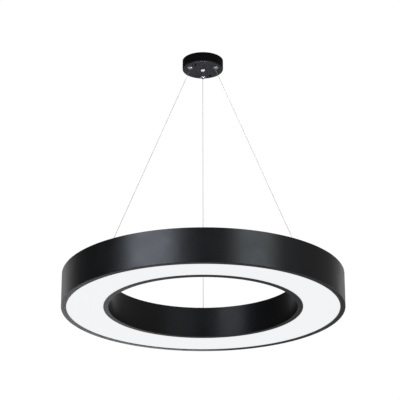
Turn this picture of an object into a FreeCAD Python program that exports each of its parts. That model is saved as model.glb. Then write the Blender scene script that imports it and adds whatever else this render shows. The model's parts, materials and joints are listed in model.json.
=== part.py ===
import FreeCAD, Part
import Sketcher
import math
import os

# Ring pendant light: a flat round ring with a glowing underside, hung on three
# thin steel wires from a small round ceiling canopy.
# Frame: millimetres, +Z up, origin on the ceiling plane in the middle of the
# canopy, the side towards the viewer is -Y.

doc = FreeCAD.newDocument("ring_pendant")
sheet = doc.addObject("Spreadsheet::Sheet", "Sizes")

SIZES = [
    # ceiling canopy
    ("canopy_radius", 45.2), ("canopy_height", 23.0), ("canopy_wall", 1.2), ("canopy_edge", 4.5),
    ("plate_radius", 38.0), ("plate_thick", 1.5), ("plate_hole", 6.0),
    ("slot_offset", 22.0), ("slot_length", 10.0), ("slot_width", 4.5),
    ("circle_radius", 32.7), ("pillar_radius", 3.6), ("pillar_bore", 1.7), ("screw_shank", 1.6),
    ("screw_head", 2.9), ("small_screw_circle", 10.8), ("small_screw_head", 2.5), ("small_screw_shank", 1.2), ("screw_head_high", 1.6), ("screw_length", 11.0), ("screw_hole", 2.2),
    # wire grippers
    ("barrel_radius", 4.0), ("barrel_flange", 6.0), ("barrel_flange_high", 2.0), ("barrel_nose", 4.4),
    ("barrel_drop", 3.4), ("barrel_rise", 12.0), ("barrel_bore", 3.1), ("barrel_lip", 2.4),
    ("barrel_lip_high", 1.4), ("barrel_cap", 2.4), ("wire_bore", 0.95),
    ("locknut_radius", 6.4), ("locknut_high", 2.6),
    ("plunger_radius", 3.04), ("plunger_tip", 2.34), ("plunger_out", 2.2), ("plunger_travel", 2.0),
    ("plunger_head", 5.0), ("spring_outer", 2.8), ("spring_inner", 2.1), ("ball_radius", 0.55),
    # wires
    ("wire_radius", 0.5), ("wire_start", 6.6), ("tail_top", 5.0), ("stop_radius", 1.5), ("stop_high", 3.5),
    # cord outlet
    ("bush_flange", 4.7), ("bush_flange_high", 0.8), ("bush_radius", 4.0), ("bush_high", 6.0),
    ("bush_bore", 2.6), ("bush_skin", 0.8), ("bush_nut", 6.3), ("bush_nut_high", 2.5),
    # mains terminal
    ("block_long", 27.0), ("block_wide", 15.0), ("block_high", 9.0), ("block_back", 13.5),
    ("block_pitch", 8.5), ("block_hole", 1.7), ("clamp_radius", 1.4), ("clamp_high", 3.0),
    ("earth_back", 17.0), ("earth_head", 3.2), ("earth_washer", 4.2),
    # ring casing
    ("ring_radius", 300.0), ("hole_radius", 200.0), ("ring_high", 73.0), ("ring_bottom", 584.0),
    ("wall", 1.5), ("rim", 11.0), ("rim_edge", 0.5), ("inner_lift", 3.5), ("flange", 7.0), ("top_drop", 2.5), ("top_thick", 1.5), ("inner_drop", 2.0),
    ("ledge", 4.0), ("ledge_thick", 1.5), ("ledge_up", 34.0),
    ("anchor_circle", 232.0), ("top_screw_radius", 1.6), ("top_screw_head", 2.8),
    ("vent_length", 26.0), ("vent_width", 3.0), ("vent_circle", 272.0),
    # light engine
    ("tray_thick", 1.0), ("tray_gap", 0.6), ("diffuser_thick", 2.0), ("diffuser_gap", 0.4),
    ("board_inner", 236.0), ("board_outer", 264.0), ("board_thick", 1.6), ("board_angle", 58.0),
    ("led_long", 3.5), ("led_wide", 2.8), ("led_high", 0.8), ("led_circle", 250.0), ("led_count", 72.0),
    ("driver_long", 112.0), ("driver_wide", 42.0), ("driver_high", 22.0), ("driver_wall", 1.6),
    ("driver_lid_thick", 1.6), ("driver_circle", 252.0), ("lead_radius", 1.1),
    # anchors and inlet
    ("anchor_flange", 6.5), ("anchor_flange_high", 2.0), ("anchor_boss", 3.6), ("anchor_high", 9.5),
    ("anchor_stud", 3.0), ("anchor_stud_long", 8.0), ("anchor_mouth", 1.6), ("anchor_nut", 5.8), ("anchor_nut_high", 3.0),
    ("gland_body", 7.0), ("gland_high", 8.0), ("gland_thread", 5.0), ("gland_thread_long", 8.0), ("gland_bore", 2.6),
    ("gland_nut", 8.0), ("gland_nut_high", 3.0), ("gland_angle", 107.0),
]
VALUE = {}
for row, (name, number) in enumerate(SIZES, start=1):
    sheet.set("A%d" % row, name)
    sheet.set("B%d" % row, repr(number))
    sheet.setAlias("B%d" % row, name)
    VALUE[name] = number
doc.recompute()


class Size:
    """A length together with the sheet expression that it comes from."""

    def __init__(self, value, text):
        self.value = float(value)
        self.text = text

    @staticmethod
    def of(other):
        return other if isinstance(other, Size) else Size(other, "%.6g" % other)

    def __add__(self, other):
        other = Size.of(other)
        return Size(self.value + other.value, "(%s + %s)" % (self.text, other.text))

    def __radd__(self, other):
        return Size.of(other) + self

    def __sub__(self, other):
        other = Size.of(other)
        return Size(self.value - other.value, "(%s - %s)" % (self.text, other.text))

    def __rsub__(self, other):
        return Size.of(other) - self

    def __mul__(self, other):
        other = Size.of(other)
        return Size(self.value * other.value, "(%s * %s)" % (self.text, other.text))

    def __rmul__(self, other):
        return Size.of(other) * self

    def __truediv__(self, other):
        other = Size.of(other)
        return Size(self.value / other.value, "(%s / %s)" % (self.text, other.text))

    def __neg__(self):
        return Size(-self.value, "(0 - %s)" % self.text)


def S(name):
    return Size(VALUE[name], "Sizes." + name)


KEPT = []


def keep(obj, label):
    obj.Label = label
    KEPT.append(obj)
    return obj


def bind(obj, prop, size):
    size = Size.of(size)
    obj.setExpression(prop, size.text)


def place(obj, x=0, y=0, z=0, turn=0.0, tilt=None):
    """Puts the object at x, y, z, turned about the vertical by turn degrees."""
    x, y, z = Size.of(x), Size.of(y), Size.of(z)
    rotation = FreeCAD.Rotation(FreeCAD.Vector(0, 0, 1), turn)
    if tilt is not None:
        rotation = rotation.multiply(FreeCAD.Rotation(FreeCAD.Vector(*tilt[0]), tilt[1]))
    obj.Placement = FreeCAD.Placement(FreeCAD.Vector(x.value, y.value, z.value), rotation)
    bind(obj, "Placement.Base.x", x)
    bind(obj, "Placement.Base.y", y)
    bind(obj, "Placement.Base.z", z)
    return obj


def polar(radius, degrees):
    """The two coordinates of a point on a circle about the vertical axis."""
    radius = Size.of(radius)
    c, s = math.cos(math.radians(degrees)), math.sin(math.radians(degrees))
    return radius * Size(c, "%.12g" % c), radius * Size(s, "%.12g" % s)


# ------------------------------------------------------------------ sketches
def origin_feature(body, role):
    for feature in body.Origin.OriginFeatures:
        if feature.Role == role:
            return feature
    raise RuntimeError(role)


def new_body(name):
    return doc.addObject("PartDesign::Body", name)


def new_sketch(body, name, plane, offset=None):
    sketch = body.newObject("Sketcher::SketchObject", name)
    sketch.AttachmentSupport = [(origin_feature(body, plane), "")]
    sketch.MapMode = "FlatFace"
    if offset is not None:
        offset = Size.of(offset)
        sketch.AttachmentOffset = FreeCAD.Placement(FreeCAD.Vector(0, 0, offset.value), FreeCAD.Rotation())
        sketch.setExpression("AttachmentOffset.Base.z", offset.text)
    return sketch


def fix_point(sketch, geo, pos, x, y):
    """Holds one sketch point at two bound coordinates from the origin."""
    for kind, axis, size in (("DistanceX", -2, Size.of(x)), ("DistanceY", -1, Size.of(y))):
        if abs(size.value) < 1e-9:
            sketch.addConstraint(Sketcher.Constraint("PointOnObject", geo, pos, axis))
            continue
        if size.value > 0:
            index = sketch.addConstraint(Sketcher.Constraint(kind, -1, 1, geo, pos, size.value))
            sketch.setExpression("Constraints[%d]" % index, size.text)
        else:
            index = sketch.addConstraint(Sketcher.Constraint(kind, geo, pos, -1, 1, -size.value))
            sketch.setExpression("Constraints[%d]" % index, "(0 - %s)" % size.text)


def outline(sketch, points):
    """A closed run of straight lines through bound corner points."""
    points = [(Size.of(x), Size.of(y)) for x, y in points]
    count = len(points)
    first = sketch.GeometryCount
    for i in range(count):
        a, b = points[i], points[(i + 1) % count]
        sketch.addGeometry(Part.LineSegment(FreeCAD.Vector(a[0].value, a[1].value, 0),
                                            FreeCAD.Vector(b[0].value, b[1].value, 0)), False)
    for i in range(count):
        sketch.addConstraint(Sketcher.Constraint("Coincident", first + i, 2, first + (i + 1) % count, 1))
    for i in range(count):
        fix_point(sketch, first + i, 1, points[i][0], points[i][1])


def circle(sketch, x, y, radius):
    x, y, radius = Size.of(x), Size.of(y), Size.of(radius)
    geo = sketch.addGeometry(Part.Circle(FreeCAD.Vector(x.value, y.value, 0), FreeCAD.Vector(0, 0, 1), radius.value), False)
    fix_point(sketch, geo, 3, x, y)
    index = sketch.addConstraint(Sketcher.Constraint("Radius", geo, radius.value))
    sketch.setExpression("Constraints[%d]" % index, radius.text)
    return geo


def revolve(label, points, at=None, copies=1, turn=0.0, lift=0):
    """A turned piece: outline given as (radius, height), about the vertical
    axis, or about a parallel axis at distance `at`, repeated round the middle."""
    body = new_body("body_" + label)
    sketch = new_sketch(body, "profile_" + label, "XZ_Plane")
    shift = Size.of(0) if at is None else Size.of(at)
    outline(sketch, [((Size.of(r) + shift) if at is not None else Size.of(r), z) for r, z in points])
    turned = body.newObject("PartDesign::Revolution", "turned_" + label)
    turned.Profile = sketch
    if at is None:
        turned.ReferenceAxis = (sketch, ["V_Axis"])
    else:
        axis = sketch.addGeometry(Part.LineSegment(FreeCAD.Vector(shift.value, -1, 0), FreeCAD.Vector(shift.value, 1, 0)), True)
        sketch.addConstraint(Sketcher.Constraint("Vertical", axis))
        fix_point(sketch, axis, 1, shift, -1)
        index = sketch.addConstraint(Sketcher.Constraint("DistanceY", axis, 1, axis, 2, 2.0))
        turned.ReferenceAxis = (sketch, ["Axis0"])
    turned.Angle = 360.0
    body.Tip = turned
    if copies > 1:
        repeat(body, turned, copies, label)
    place(body, 0, 0, lift, turn)
    return keep(body, label)


def repeat(body, feature, copies, label, angle=360.0):
    pattern = body.newObject("PartDesign::PolarPattern", "round_" + label)
    pattern.Originals = [feature]
    pattern.Axis = (origin_feature(body, "Z_Axis"), [""])
    pattern.Angle = angle
    pattern.Occurrences = copies
    body.Tip = pattern
    return pattern


def pad(body, sketch, length, name, down=False):
    feature = body.newObject("PartDesign::Pad", name)
    feature.Profile = sketch
    feature.Length = Size.of(length).value
    bind(feature, "Length", length)
    feature.Reversed = down
    body.Tip = feature
    return feature


def pocket(body, sketch, length, name, up=False, through=False):
    """Cuts along -Z of the sketch, or along +Z where up is true."""
    feature = body.newObject("PartDesign::Pocket", name)
    feature.Profile = sketch
    if through:
        feature.Type = 1
        feature.Midplane = True
    else:
        feature.Length = Size.of(length).value
        bind(feature, "Length", length)
    feature.Reversed = up
    body.Tip = feature
    return feature


# ------------------------------------------------------- plain solids
def cylinder(name, radius, height, x=0, y=0, z=0):
    obj = doc.addObject("Part::Cylinder", name)
    bind(obj, "Radius", radius)
    bind(obj, "Height", height)
    place(obj, x, y, z)
    return obj


def box(name, long, wide, high, x=0, y=0, z=0, turn=0.0):
    """A block centred on x, y, standing on z."""
    obj = doc.addObject("Part::Box", name)
    long, wide, high = Size.of(long), Size.of(wide), Size.of(high)
    bind(obj, "Length", long)
    bind(obj, "Width", wide)
    bind(obj, "Height", high)
    c, s = math.cos(math.radians(turn)), math.sin(math.radians(turn))
    c, s = Size(c, "%.12g" % c), Size(s, "%.12g" % s)
    x, y = Size.of(x), Size.of(y)
    place(obj, x - long / 2 * c + wide / 2 * s, y - long / 2 * s - wide / 2 * c, z, turn)
    return obj


def ball(name, radius, x, y, z):
    obj = doc.addObject("Part::Sphere", name)
    bind(obj, "Radius", radius)
    place(obj, x, y, z)
    return obj


def hexagon(name, radius, height, x, y, z, turn=0.0):
    obj = doc.addObject("Part::Prism", name)
    obj.Polygon = 6
    bind(obj, "Circumradius", radius)
    bind(obj, "Height", height)
    place(obj, x, y, z, turn)
    return obj


def cut(name, base, tool):
    obj = doc.addObject("Part::Cut", name)
    obj.Base, obj.Tool = base, tool
    return obj


def fuse(name, shapes):
    obj = doc.addObject("Part::MultiFuse", name)
    obj.Shapes = shapes
    return obj


def group(label, members):
    obj = doc.addObject("Part::Compound", "group_" + label)
    obj.Links = members
    return keep(obj, label)


# ================================================================== canopy
LEFT, RIGHT, REAR = 210.0, 330.0, 90.0
SIDES = (("left", LEFT), ("right", RIGHT), ("rear", REAR))
underside = -S("canopy_height")
inside = underside + S("canopy_wall")

# Ceiling plate: a round disc against the ceiling with two slots and a middle hole.
body = new_body("body_ceiling_plate")
sketch = new_sketch(body, "disc_outline", "XY_Plane")
circle(sketch, 0, 0, S("plate_radius"))
circle(sketch, 0, 0, S("plate_hole"))
disc = pad(body, sketch, S("plate_thick"), "disc", down=True)
sketch = new_sketch(body, "slot_outline", "XY_Plane")
half = (S("slot_length") - S("slot_width")) / 2
for sign in (1, -1):
    mid = S("slot_offset") * sign
    ends = [(mid + half, 0), (mid - half, 0)]
    width = S("slot_width") / 2
    first = sketch.GeometryCount
    right_end, left_end = ends[0][0], ends[1][0]
    sketch.addGeometry(Part.ArcOfCircle(Part.Circle(FreeCAD.Vector(right_end.value, 0, 0), FreeCAD.Vector(0, 0, 1), width.value), -math.pi / 2, math.pi / 2), False)
    sketch.addGeometry(Part.LineSegment(FreeCAD.Vector(right_end.value, width.value, 0), FreeCAD.Vector(left_end.value, width.value, 0)), False)
    sketch.addGeometry(Part.ArcOfCircle(Part.Circle(FreeCAD.Vector(left_end.value, 0, 0), FreeCAD.Vector(0, 0, 1), width.value), math.pi / 2, 3 * math.pi / 2), False)
    sketch.addGeometry(Part.LineSegment(FreeCAD.Vector(left_end.value, -width.value, 0), FreeCAD.Vector(right_end.value, -width.value, 0)), False)
    sketch.addConstraint(Sketcher.Constraint("Coincident", first, 2, first + 1, 1))
    sketch.addConstraint(Sketcher.Constraint("Coincident", first + 1, 2, first + 2, 1))
    sketch.addConstraint(Sketcher.Constraint("Coincident", first + 2, 2, first + 3, 1))
    sketch.addConstraint(Sketcher.Constraint("Coincident", first + 3, 2, first, 1))
    fix_point(sketch, first, 3, right_end, 0)
    fix_point(sketch, first + 2, 3, left_end, 0)
    fix_point(sketch, first + 1, 1, right_end, width)
    fix_point(sketch, first + 1, 2, left_end, width)
    for pos, end in ((1, left_end), (2, right_end)):
        if end.value > 0:
            index = sketch.addConstraint(Sketcher.Constraint("DistanceX", -1, 1, first + 3, pos, end.value))
            sketch.setExpression("Constraints[%d]" % index, end.text)
        else:
            index = sketch.addConstraint(Sketcher.Constraint("DistanceX", first + 3, pos, -1, 1, -end.value))
            sketch.setExpression("Constraints[%d]" % index, "(0 - %s)" % end.text)
slots = pocket(body, sketch, S("plate_thick"), "slots")
place(body, 0, 0, 0)
keep(body, "ceiling_plate")

# Two threaded pillars hang from the plate, where the face screws go in.
revolve("plate_pillars",
        [(S("pillar_bore"), inside), (S("pillar_radius"), inside),
         (S("pillar_radius"), -S("plate_thick")), (0, -S("plate_thick")),
         (0, inside + S("screw_length") + 1), (S("pillar_bore"), inside + S("screw_length") + 1)],
        at=S("circle_radius"), copies=2, turn=60.0)

# Canopy cup: a shallow drum, open towards the ceiling, with a softened lower edge.
body = new_body("body_canopy_cup")
sketch = new_sketch(body, "cup_profile", "XZ_Plane")
outline(sketch, [(0, underside), (S("canopy_radius"), underside), (S("canopy_radius"), 0),
                 (S("canopy_radius") - S("canopy_wall"), 0), (S("canopy_radius") - S("canopy_wall"), inside), (0, inside)])
cup = body.newObject("PartDesign::Revolution", "cup")
cup.Profile = sketch
cup.ReferenceAxis = (sketch, ["V_Axis"])
cup.Angle = 360.0
body.Tip = cup
doc.recompute()
edge_name = None
for number, edge in enumerate(cup.Shape.Edges, start=1):
    if (isinstance(edge.Curve, Part.Circle) and abs(edge.Curve.Radius - VALUE["canopy_radius"]) < 1e-6
            and abs(edge.CenterOfMass.z + VALUE["canopy_height"]) < 1e-6):
        edge_name = "Edge%d" % number
soft_edge = body.newObject("PartDesign::Fillet", "soft_edge")
soft_edge.Base = (cup, [edge_name])
soft_edge.Radius = VALUE["canopy_edge"]
bind(soft_edge, "Radius", S("canopy_edge"))
body.Tip = soft_edge
doc.recompute()
edge_name = None
for number, edge in enumerate(soft_edge.Shape.Edges, start=1):
    if (isinstance(edge.Curve, Part.Circle) and abs(edge.Curve.Radius - VALUE["canopy_radius"] + VALUE["canopy_wall"]) < 1e-6
            and abs(edge.CenterOfMass.z - inside.value) < 1e-6):
        edge_name = "Edge%d" % number
inner_edge = body.newObject("PartDesign::Fillet", "inner_edge")
inner_edge.Base = (soft_edge, [edge_name])
inner_edge.Radius = VALUE["canopy_edge"] - VALUE["canopy_wall"]
bind(inner_edge, "Radius", S("canopy_edge") - S("canopy_wall"))
body.Tip = inner_edge
sketch = new_sketch(body, "gripper_hole", "XY_Plane", offset=underside)
circle(sketch, S("circle_radius"), 0, S("barrel_radius") + 0.1)
holes = pocket(body, sketch, S("canopy_wall") * 2, "gripper_holes", up=True)
grid = body.newObject("PartDesign::PolarPattern", "gripper_holes_round")
grid.Originals = [holes]
grid.Axis = (origin_feature(body, "Z_Axis"), [""])
grid.Angle = 360.0
grid.Occurrences = 3
body.Tip = grid
sketch = new_sketch(body, "other_holes", "XY_Plane", offset=underside)
circle(sketch, 0, 0, S("bush_radius") + 0.1)
for angle in (60.0 - REAR, 240.0 - REAR):
    x, y = polar(S("circle_radius"), angle)
    circle(sketch, x, y, S("screw_hole"))
SMALL_SCREW = 285.6
x, y = polar(S("small_screw_circle"), SMALL_SCREW - REAR)
circle(sketch, x, y, S("small_screw_shank") + 0.05)
pocket(body, sketch, S("canopy_wall") * 2, "outlet_and_screw_holes", up=True)
place(body, 0, 0, 0, REAR)
keep(body, "canopy_cup")

# Face screws, from below through the cup into the pillars, and one small
# screw beside the cord outlet.
revolve("face_screws",
        [(0, underside - S("screw_head_high")), (S("screw_head") * 0.75, underside - S("screw_head_high")),
         (S("screw_head"), underside - S("screw_head_high") * 0.45), (S("screw_head"), underside),
         (S("screw_shank"), underside), (S("screw_shank"), underside + S("screw_length")),
         (0, underside + S("screw_length"))],
        at=S("circle_radius"), copies=2, turn=60.0)
revolve("small_face_screw",
        [(0, underside - 0.9), (S("small_screw_head") - 0.5, underside - 0.9), (S("small_screw_head"), underside - 0.4),
         (S("small_screw_head"), underside), (S("small_screw_shank"), underside), (S("small_screw_shank"), underside + 4.0),
         (0, underside + 4.0)],
        at=S("small_screw_circle"), turn=SMALL_SCREW)
small, pair = KEPT.pop(), KEPT.pop()
group("canopy_screws", [pair, small])

# Wire grippers: threaded barrel with a flange under the cup and a lip that
# keeps the plunger in.
mouth = underside - S("barrel_drop")
barrel_top = underside + S("barrel_rise")
revolve("gripper_barrels",
        [(S("barrel_lip"), mouth), (S("barrel_nose"), mouth),
         (S("barrel_flange"), underside - S("barrel_flange_high")), (S("barrel_flange"), underside),
         (S("barrel_radius"), underside), (S("barrel_radius"), barrel_top),
         (S("wire_bore"), barrel_top), (S("wire_bore"), barrel_top - S("barrel_cap")),
         (S("barrel_bore"), barrel_top - S("barrel_cap")), (S("barrel_bore"), mouth + S("barrel_lip_high")),
         (S("barrel_lip"), mouth + S("barrel_lip_high"))],
        at=S("circle_radius"), copies=3, turn=REAR)

members = []
for side, angle in SIDES:
    x, y = polar(S("circle_radius"), angle)
    nut = hexagon("locknut_" + side, S("locknut_radius"), S("locknut_high"), x, y, inside, angle)
    bore = cylinder("locknut_bore_" + side, S("barrel_radius"), S("locknut_high") + 2, x, y, inside - 1)
    members.append(cut("locknut_cut_" + side, nut, bore))
group("gripper_locknuts", members)

# Each plunger: a sleeve round the wire, with a shoulder behind the lip.
shoulder = mouth + S("barrel_lip_high") + 0.1
plunger_low = mouth - S("plunger_out")
plunger_top = shoulder + S("plunger_head")
spring_top = barrel_top - S("barrel_cap")
for side, angle in SIDES:
    x, y = polar(S("circle_radius"), angle)
    body = new_body("body_plunger_" + side)
    sketch = new_sketch(body, "plunger_profile_" + side, "XZ_Plane")
    outline(sketch, [(S("wire_bore"), plunger_low), (S("plunger_tip") * 0.82, plunger_low),
                     (S("plunger_tip"), plunger_low + 0.6), (S("plunger_tip"), shoulder),
                     (S("plunger_radius"), shoulder), (S("plunger_radius"), plunger_top),
                     (S("wire_bore"), plunger_top)])
    turned = body.newObject("PartDesign::Revolution", "plunger_turned_" + side)
    turned.Profile = sketch
    turned.ReferenceAxis = (sketch, ["V_Axis"])
    turned.Angle = 360.0
    body.Tip = turned
    place(body, x, y, 0)
    keep(body, "plunger_" + side)
for side, angle in SIDES:
    x, y = polar(S("circle_radius"), angle)
    free = spring_top - plunger_top - 0.1
    outer = cylinder("spring_out_" + side, S("spring_outer"), free, x, y, plunger_top + 0.05)
    inner = cylinder("spring_in_" + side, S("spring_inner"), free + 2, x, y, plunger_top - 0.95)
    keep(cut("spring_" + side + "_sleeve", outer, inner), "plunger_spring_" + side)

members = []
for side, angle in SIDES:
    x, y = polar(S("circle_radius"), angle)
    for step in (0.0, 120.0, 240.0):
        dx, dy = polar(S("wire_radius") + S("ball_radius") + 0.02, angle + 30 + step)
        members.append(ball("ball_%s_%d" % (side, int(step)), S("ball_radius"), x + dx, y + dy,
                            spring_top - S("ball_radius") - 0.05))
group("gripper_balls", members)

# Wire tails through the grippers and the crimped stops on their ends.
tails, stops = [], []
for side, angle in SIDES:
    x, y = polar(S("circle_radius"), angle)
    low = underside - S("wire_start") + 0.25
    tails.append(cylinder("tail_" + side, S("wire_radius"), -S("tail_top") - low, x, y, low))
    sleeve = cylinder("stop_out_" + side, S("stop_radius"), S("stop_high"), x, y, -S("tail_top") - S("stop_high"))
    bore = cylinder("stop_in_" + side, S("wire_radius"), S("stop_high") + 2, x, y, -S("tail_top") - S("stop_high") - 1)
    stops.append(cut("stop_" + side, sleeve, bore))
group("cable_tails", tails)
group("cable_stops", stops)

# Cord outlet: a white bush with a thin closed skin, and its nut.
revolve("outlet_bush",
        [(0, underside - S("bush_flange_high") + 0.4), (S("bush_bore"), underside - S("bush_flange_high") + 0.4),
         (S("bush_bore") + 0.8, underside - S("bush_flange_high")), (S("bush_flange") - 0.5, underside - S("bush_flange_high")),
         (S("bush_flange"), underside - S("bush_flange_high") + 0.5), (S("bush_flange"), underside),
         (S("bush_radius"), underside), (S("bush_radius"), underside + S("bush_high")),
         (S("bush_bore"), underside + S("bush_high")), (S("bush_bore"), underside - S("bush_flange_high") + 0.4 + S("bush_skin")),
         (0, underside - S("bush_flange_high") + 0.4 + S("bush_skin"))])
nut = hexagon("outlet_nut_hex", S("bush_nut"), S("bush_nut_high"), 0, 0, inside, 0)
bore = cylinder("outlet_nut_bore", S("bush_radius"), S("bush_nut_high") + 2, 0, 0, inside - 1)
keep(cut("outlet_nut_cut", nut, bore), "outlet_nut")

# Mains terminal block, three ways, under the ceiling plate.
block_top = -S("plate_thick")
block = box("block_solid", S("block_long"), S("block_wide"), S("block_high"), 0, -S("block_back"), block_top - S("block_high"))
tools = []
for step in (-1, 0, 1):
    x = S("block_pitch") * step
    hole = doc.addObject("Part::Cylinder", "block_way_%d" % (step + 1))
    bind(hole, "Radius", S("block_hole"))
    bind(hole, "Height", S("block_wide") + 2)
    place(hole, x, -S("block_back") + S("block_wide") / 2 + 1, block_top - S("block_high") * 0.45, 0.0, ((1, 0, 0), 90.0))
    tools.append(hole)
    for end in (-1, 1):
        tools.append(cylinder("block_screw_hole_%d_%d" % (step + 1, end + 1), S("clamp_radius") + 0.2, S("block_high") * 0.5 + 1,
                              x, -S("block_back") + S("block_wide") * 0.27 * end, block_top - S("block_high") - 1))
block_holes = fuse("block_holes", tools)
keep(cut("block_cut", block, block_holes), "terminal_block")
members = []
for step in (-1, 0, 1):
    for end in (-1, 1):
        members.append(cylinder("clamp_%d_%d" % (step + 1, end + 1), S("clamp_radius"), S("clamp_high"),
                                S("block_pitch") * step, -S("block_back") + S("block_wide") * 0.27 * end,
                                block_top - S("block_high") + 0.4))
group("terminal_screws", members)

# Earth screw with its washer on the ceiling plate.
revolve("earth_screw",
        [(0, block_top - 4.2), (S("earth_head") * 0.7, block_top - 4.2), (S("earth_head"), block_top - 3.2),
         (S("earth_head"), block_top - 1.6), (S("earth_washer"), block_top - 1.6), (S("earth_washer"), block_top),
         (0, block_top)], at=S("earth_back"), turn=REAR)

# ================================================================== ring casing
bottom = -S("ring_bottom")
top = bottom + S("ring_high")
wall, rim = S("wall"), S("rim")
plate_top = top - S("top_drop")
inner_top = top - S("inner_drop")
plate_low = plate_top - S("top_thick")
ledge_top = bottom + S("ledge_up")
R_out, R_in = S("ring_radius"), S("hole_radius")

# Outer shell: rolled wall, rim turned in at the bottom, ledge for the gear
# tray, flange under the top plate.
revolve("outer_shell_blank",
        [(R_out - rim, bottom), (R_out - S("rim_edge"), bottom), (R_out, bottom + S("rim_edge")), (R_out, top),
         (R_out - wall, top), (R_out - wall, plate_low),
         (R_out - wall - S("flange"), plate_low), (R_out - wall - S("flange"), plate_low - wall),
         (R_out - wall, plate_low - wall), (R_out - wall, ledge_top), (R_out - wall - S("ledge"), ledge_top),
         (R_out - wall - S("ledge"), ledge_top - S("ledge_thick")), (R_out - wall, ledge_top - S("ledge_thick")),
         (R_out - wall, bottom + wall), (R_out - rim, bottom + wall)])

# Inner shell, the same section turned about; its rim stands a little higher.
inner_bottom = bottom + S("inner_lift")
revolve("inner_shell_blank",
        [(R_in + rim, inner_bottom), (R_in + rim, inner_bottom + wall), (R_in + wall, inner_bottom + wall),
         (R_in + wall, ledge_top - S("ledge_thick")), (R_in + wall + S("ledge"), ledge_top - S("ledge_thick")),
         (R_in + wall + S("ledge"), ledge_top), (R_in + wall, ledge_top), (R_in + wall, plate_low - wall),
         (R_in + wall + S("flange"), plate_low - wall), (R_in + wall + S("flange"), plate_low),
         (R_in + wall, plate_low), (R_in + wall, inner_top), (R_in, inner_top), (R_in, inner_bottom + S("rim_edge")),
         (R_in + S("rim_edge"), inner_bottom)])

# Holes for the top screws in both flanges.
inner_blank, outer_blank = KEPT.pop(), KEPT.pop()
for label, blank, radius in (("outer_shell", outer_blank, R_out - wall - S("flange") / 2),
                             ("inner_shell", inner_blank, R_in + wall + S("flange") / 2)):
    holes = []
    for n in range(12):
        x, y = polar(radius, REAR + 15.0 + 30.0 * n)
        holes.append(cylinder("%s_hole_%d" % (label, n), S("top_screw_radius") + 0.05, wall + 1, x, y, plate_low - wall - 0.5))
    keep(cut(label + "_cut", blank, fuse(label + "_holes", holes)), label)

# Top plate: flat ring with holes for the anchors, the gland, the screws and
# two rows of vent slots.
body = new_body("body_top_plate")
sketch = new_sketch(body, "top_outline", "XY_Plane")
circle(sketch, 0, 0, R_out - wall)
circle(sketch, 0, 0, R_in + wall)
top_pad = pad(body, sketch, S("top_thick"), "top_disc", down=True)
sketch = new_sketch(body, "anchor_hole", "XY_Plane")
circle(sketch, S("anchor_circle"), 0, S("anchor_stud") + 0.05)
anchor_holes = pocket(body, sketch, S("top_thick"), "anchor_holes")
holes_round = body.newObject("PartDesign::PolarPattern", "anchor_holes_round")
holes_round.Originals = [anchor_holes]
holes_round.Axis = (origin_feature(body, "Z_Axis"), [""])
holes_round.Angle = 360.0
holes_round.Occurrences = 3
body.Tip = holes_round
sketch = new_sketch(body, "gland_hole", "XY_Plane")
x, y = polar(S("anchor_circle"), VALUE["gland_angle"] - REAR)
circle(sketch, x, y, S("gland_thread") + 0.05)
pocket(body, sketch, S("top_thick"), "gland_hole_cut")
sketch = new_sketch(body, "screw_holes", "XY_Plane")
x, y = polar(R_out - wall - S("flange") / 2, 15.0)
circle(sketch, x, y, S("top_screw_radius"))
x, y = polar(R_in + wall + S("flange") / 2, 15.0)
circle(sketch, x, y, S("top_screw_radius"))
screw_holes = pocket(body, sketch, S("top_thick"), "screw_hole_pair")
screw_round = body.newObject("PartDesign::PolarPattern", "screw_holes_round")
screw_round.Originals = [screw_holes]
screw_round.Axis = (origin_feature(body, "Z_Axis"), [""])
screw_round.Angle = 360.0
screw_round.Occurrences = 12
body.Tip = screw_round
sketch = new_sketch(body, "vent_outline", "XY_Plane")
lo, hi = S("vent_circle") - S("vent_width") / 2, S("vent_circle") + S("vent_width") / 2
outline(sketch, [(lo, -S("vent_length") / 2), (hi, -S("vent_length") / 2), (hi, S("vent_length") / 2), (lo, S("vent_length") / 2)])
vents = pocket(body, sketch, S("top_thick"), "vent")
vents_round = body.newObject("PartDesign::PolarPattern", "vents_round")
vents_round.Originals = [vents]
vents_round.Axis = (origin_feature(body, "Z_Axis"), [""])
vents_round.Angle = 360.0
vents_round.Occurrences = 24
body.Tip = vents_round
place(body, 0, 0, plate_top, REAR)
keep(body, "top_plate")


def screw_row(name, at, copies, turn, head_base, head_radius, head_high, shank, length, up=True):
    """Pan head screws in a circle; up means that the head is on top."""
    sign = 1 if up else -1
    points = [(0, head_base + head_high * sign), (head_radius * 0.7, head_base + head_high * sign),
              (head_radius, head_base + head_high * 0.4 * sign), (head_radius, head_base),
              (shank, head_base), (shank, head_base - length * sign), (0, head_base - length * sign)]
    body = new_body("body_" + name)
    sketch = new_sketch(body, "profile_" + name, "XZ_Plane")
    at = Size.of(at)
    outline(sketch, [(Size.of(r) + at, z) for r, z in points])
    axis = sketch.addGeometry(Part.LineSegment(FreeCAD.Vector(at.value, -1, 0), FreeCAD.Vector(at.value, 1, 0)), True)
    sketch.addConstraint(Sketcher.Constraint("Vertical", axis))
    fix_point(sketch, axis, 1, at, -1)
    sketch.addConstraint(Sketcher.Constraint("DistanceY", axis, 1, axis, 2, 2.0))
    turned = body.newObject("PartDesign::Revolution", "turned_" + name)
    turned.Profile = sketch
    turned.ReferenceAxis = (sketch, ["Axis0"])
    turned.Angle = 360.0
    body.Tip = turned
    repeat(body, turned, copies, name)
    place(body, 0, 0, 0, turn)
    return body


outer_row = screw_row("top_screws_outer", R_out - wall - S("flange") / 2, 12, REAR + 15, plate_top,
                      S("top_screw_head"), Size.of(1.3), S("top_screw_radius"), S("top_thick") + S("wall") + 2)
inner_row = screw_row("top_screws_inner", R_in + wall + S("flange") / 2, 12, REAR + 15, plate_top,
                      S("top_screw_head"), Size.of(1.3), S("top_screw_radius"), S("top_thick") + S("wall") + 2)
group("top_screws", [outer_row, inner_row])

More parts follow.
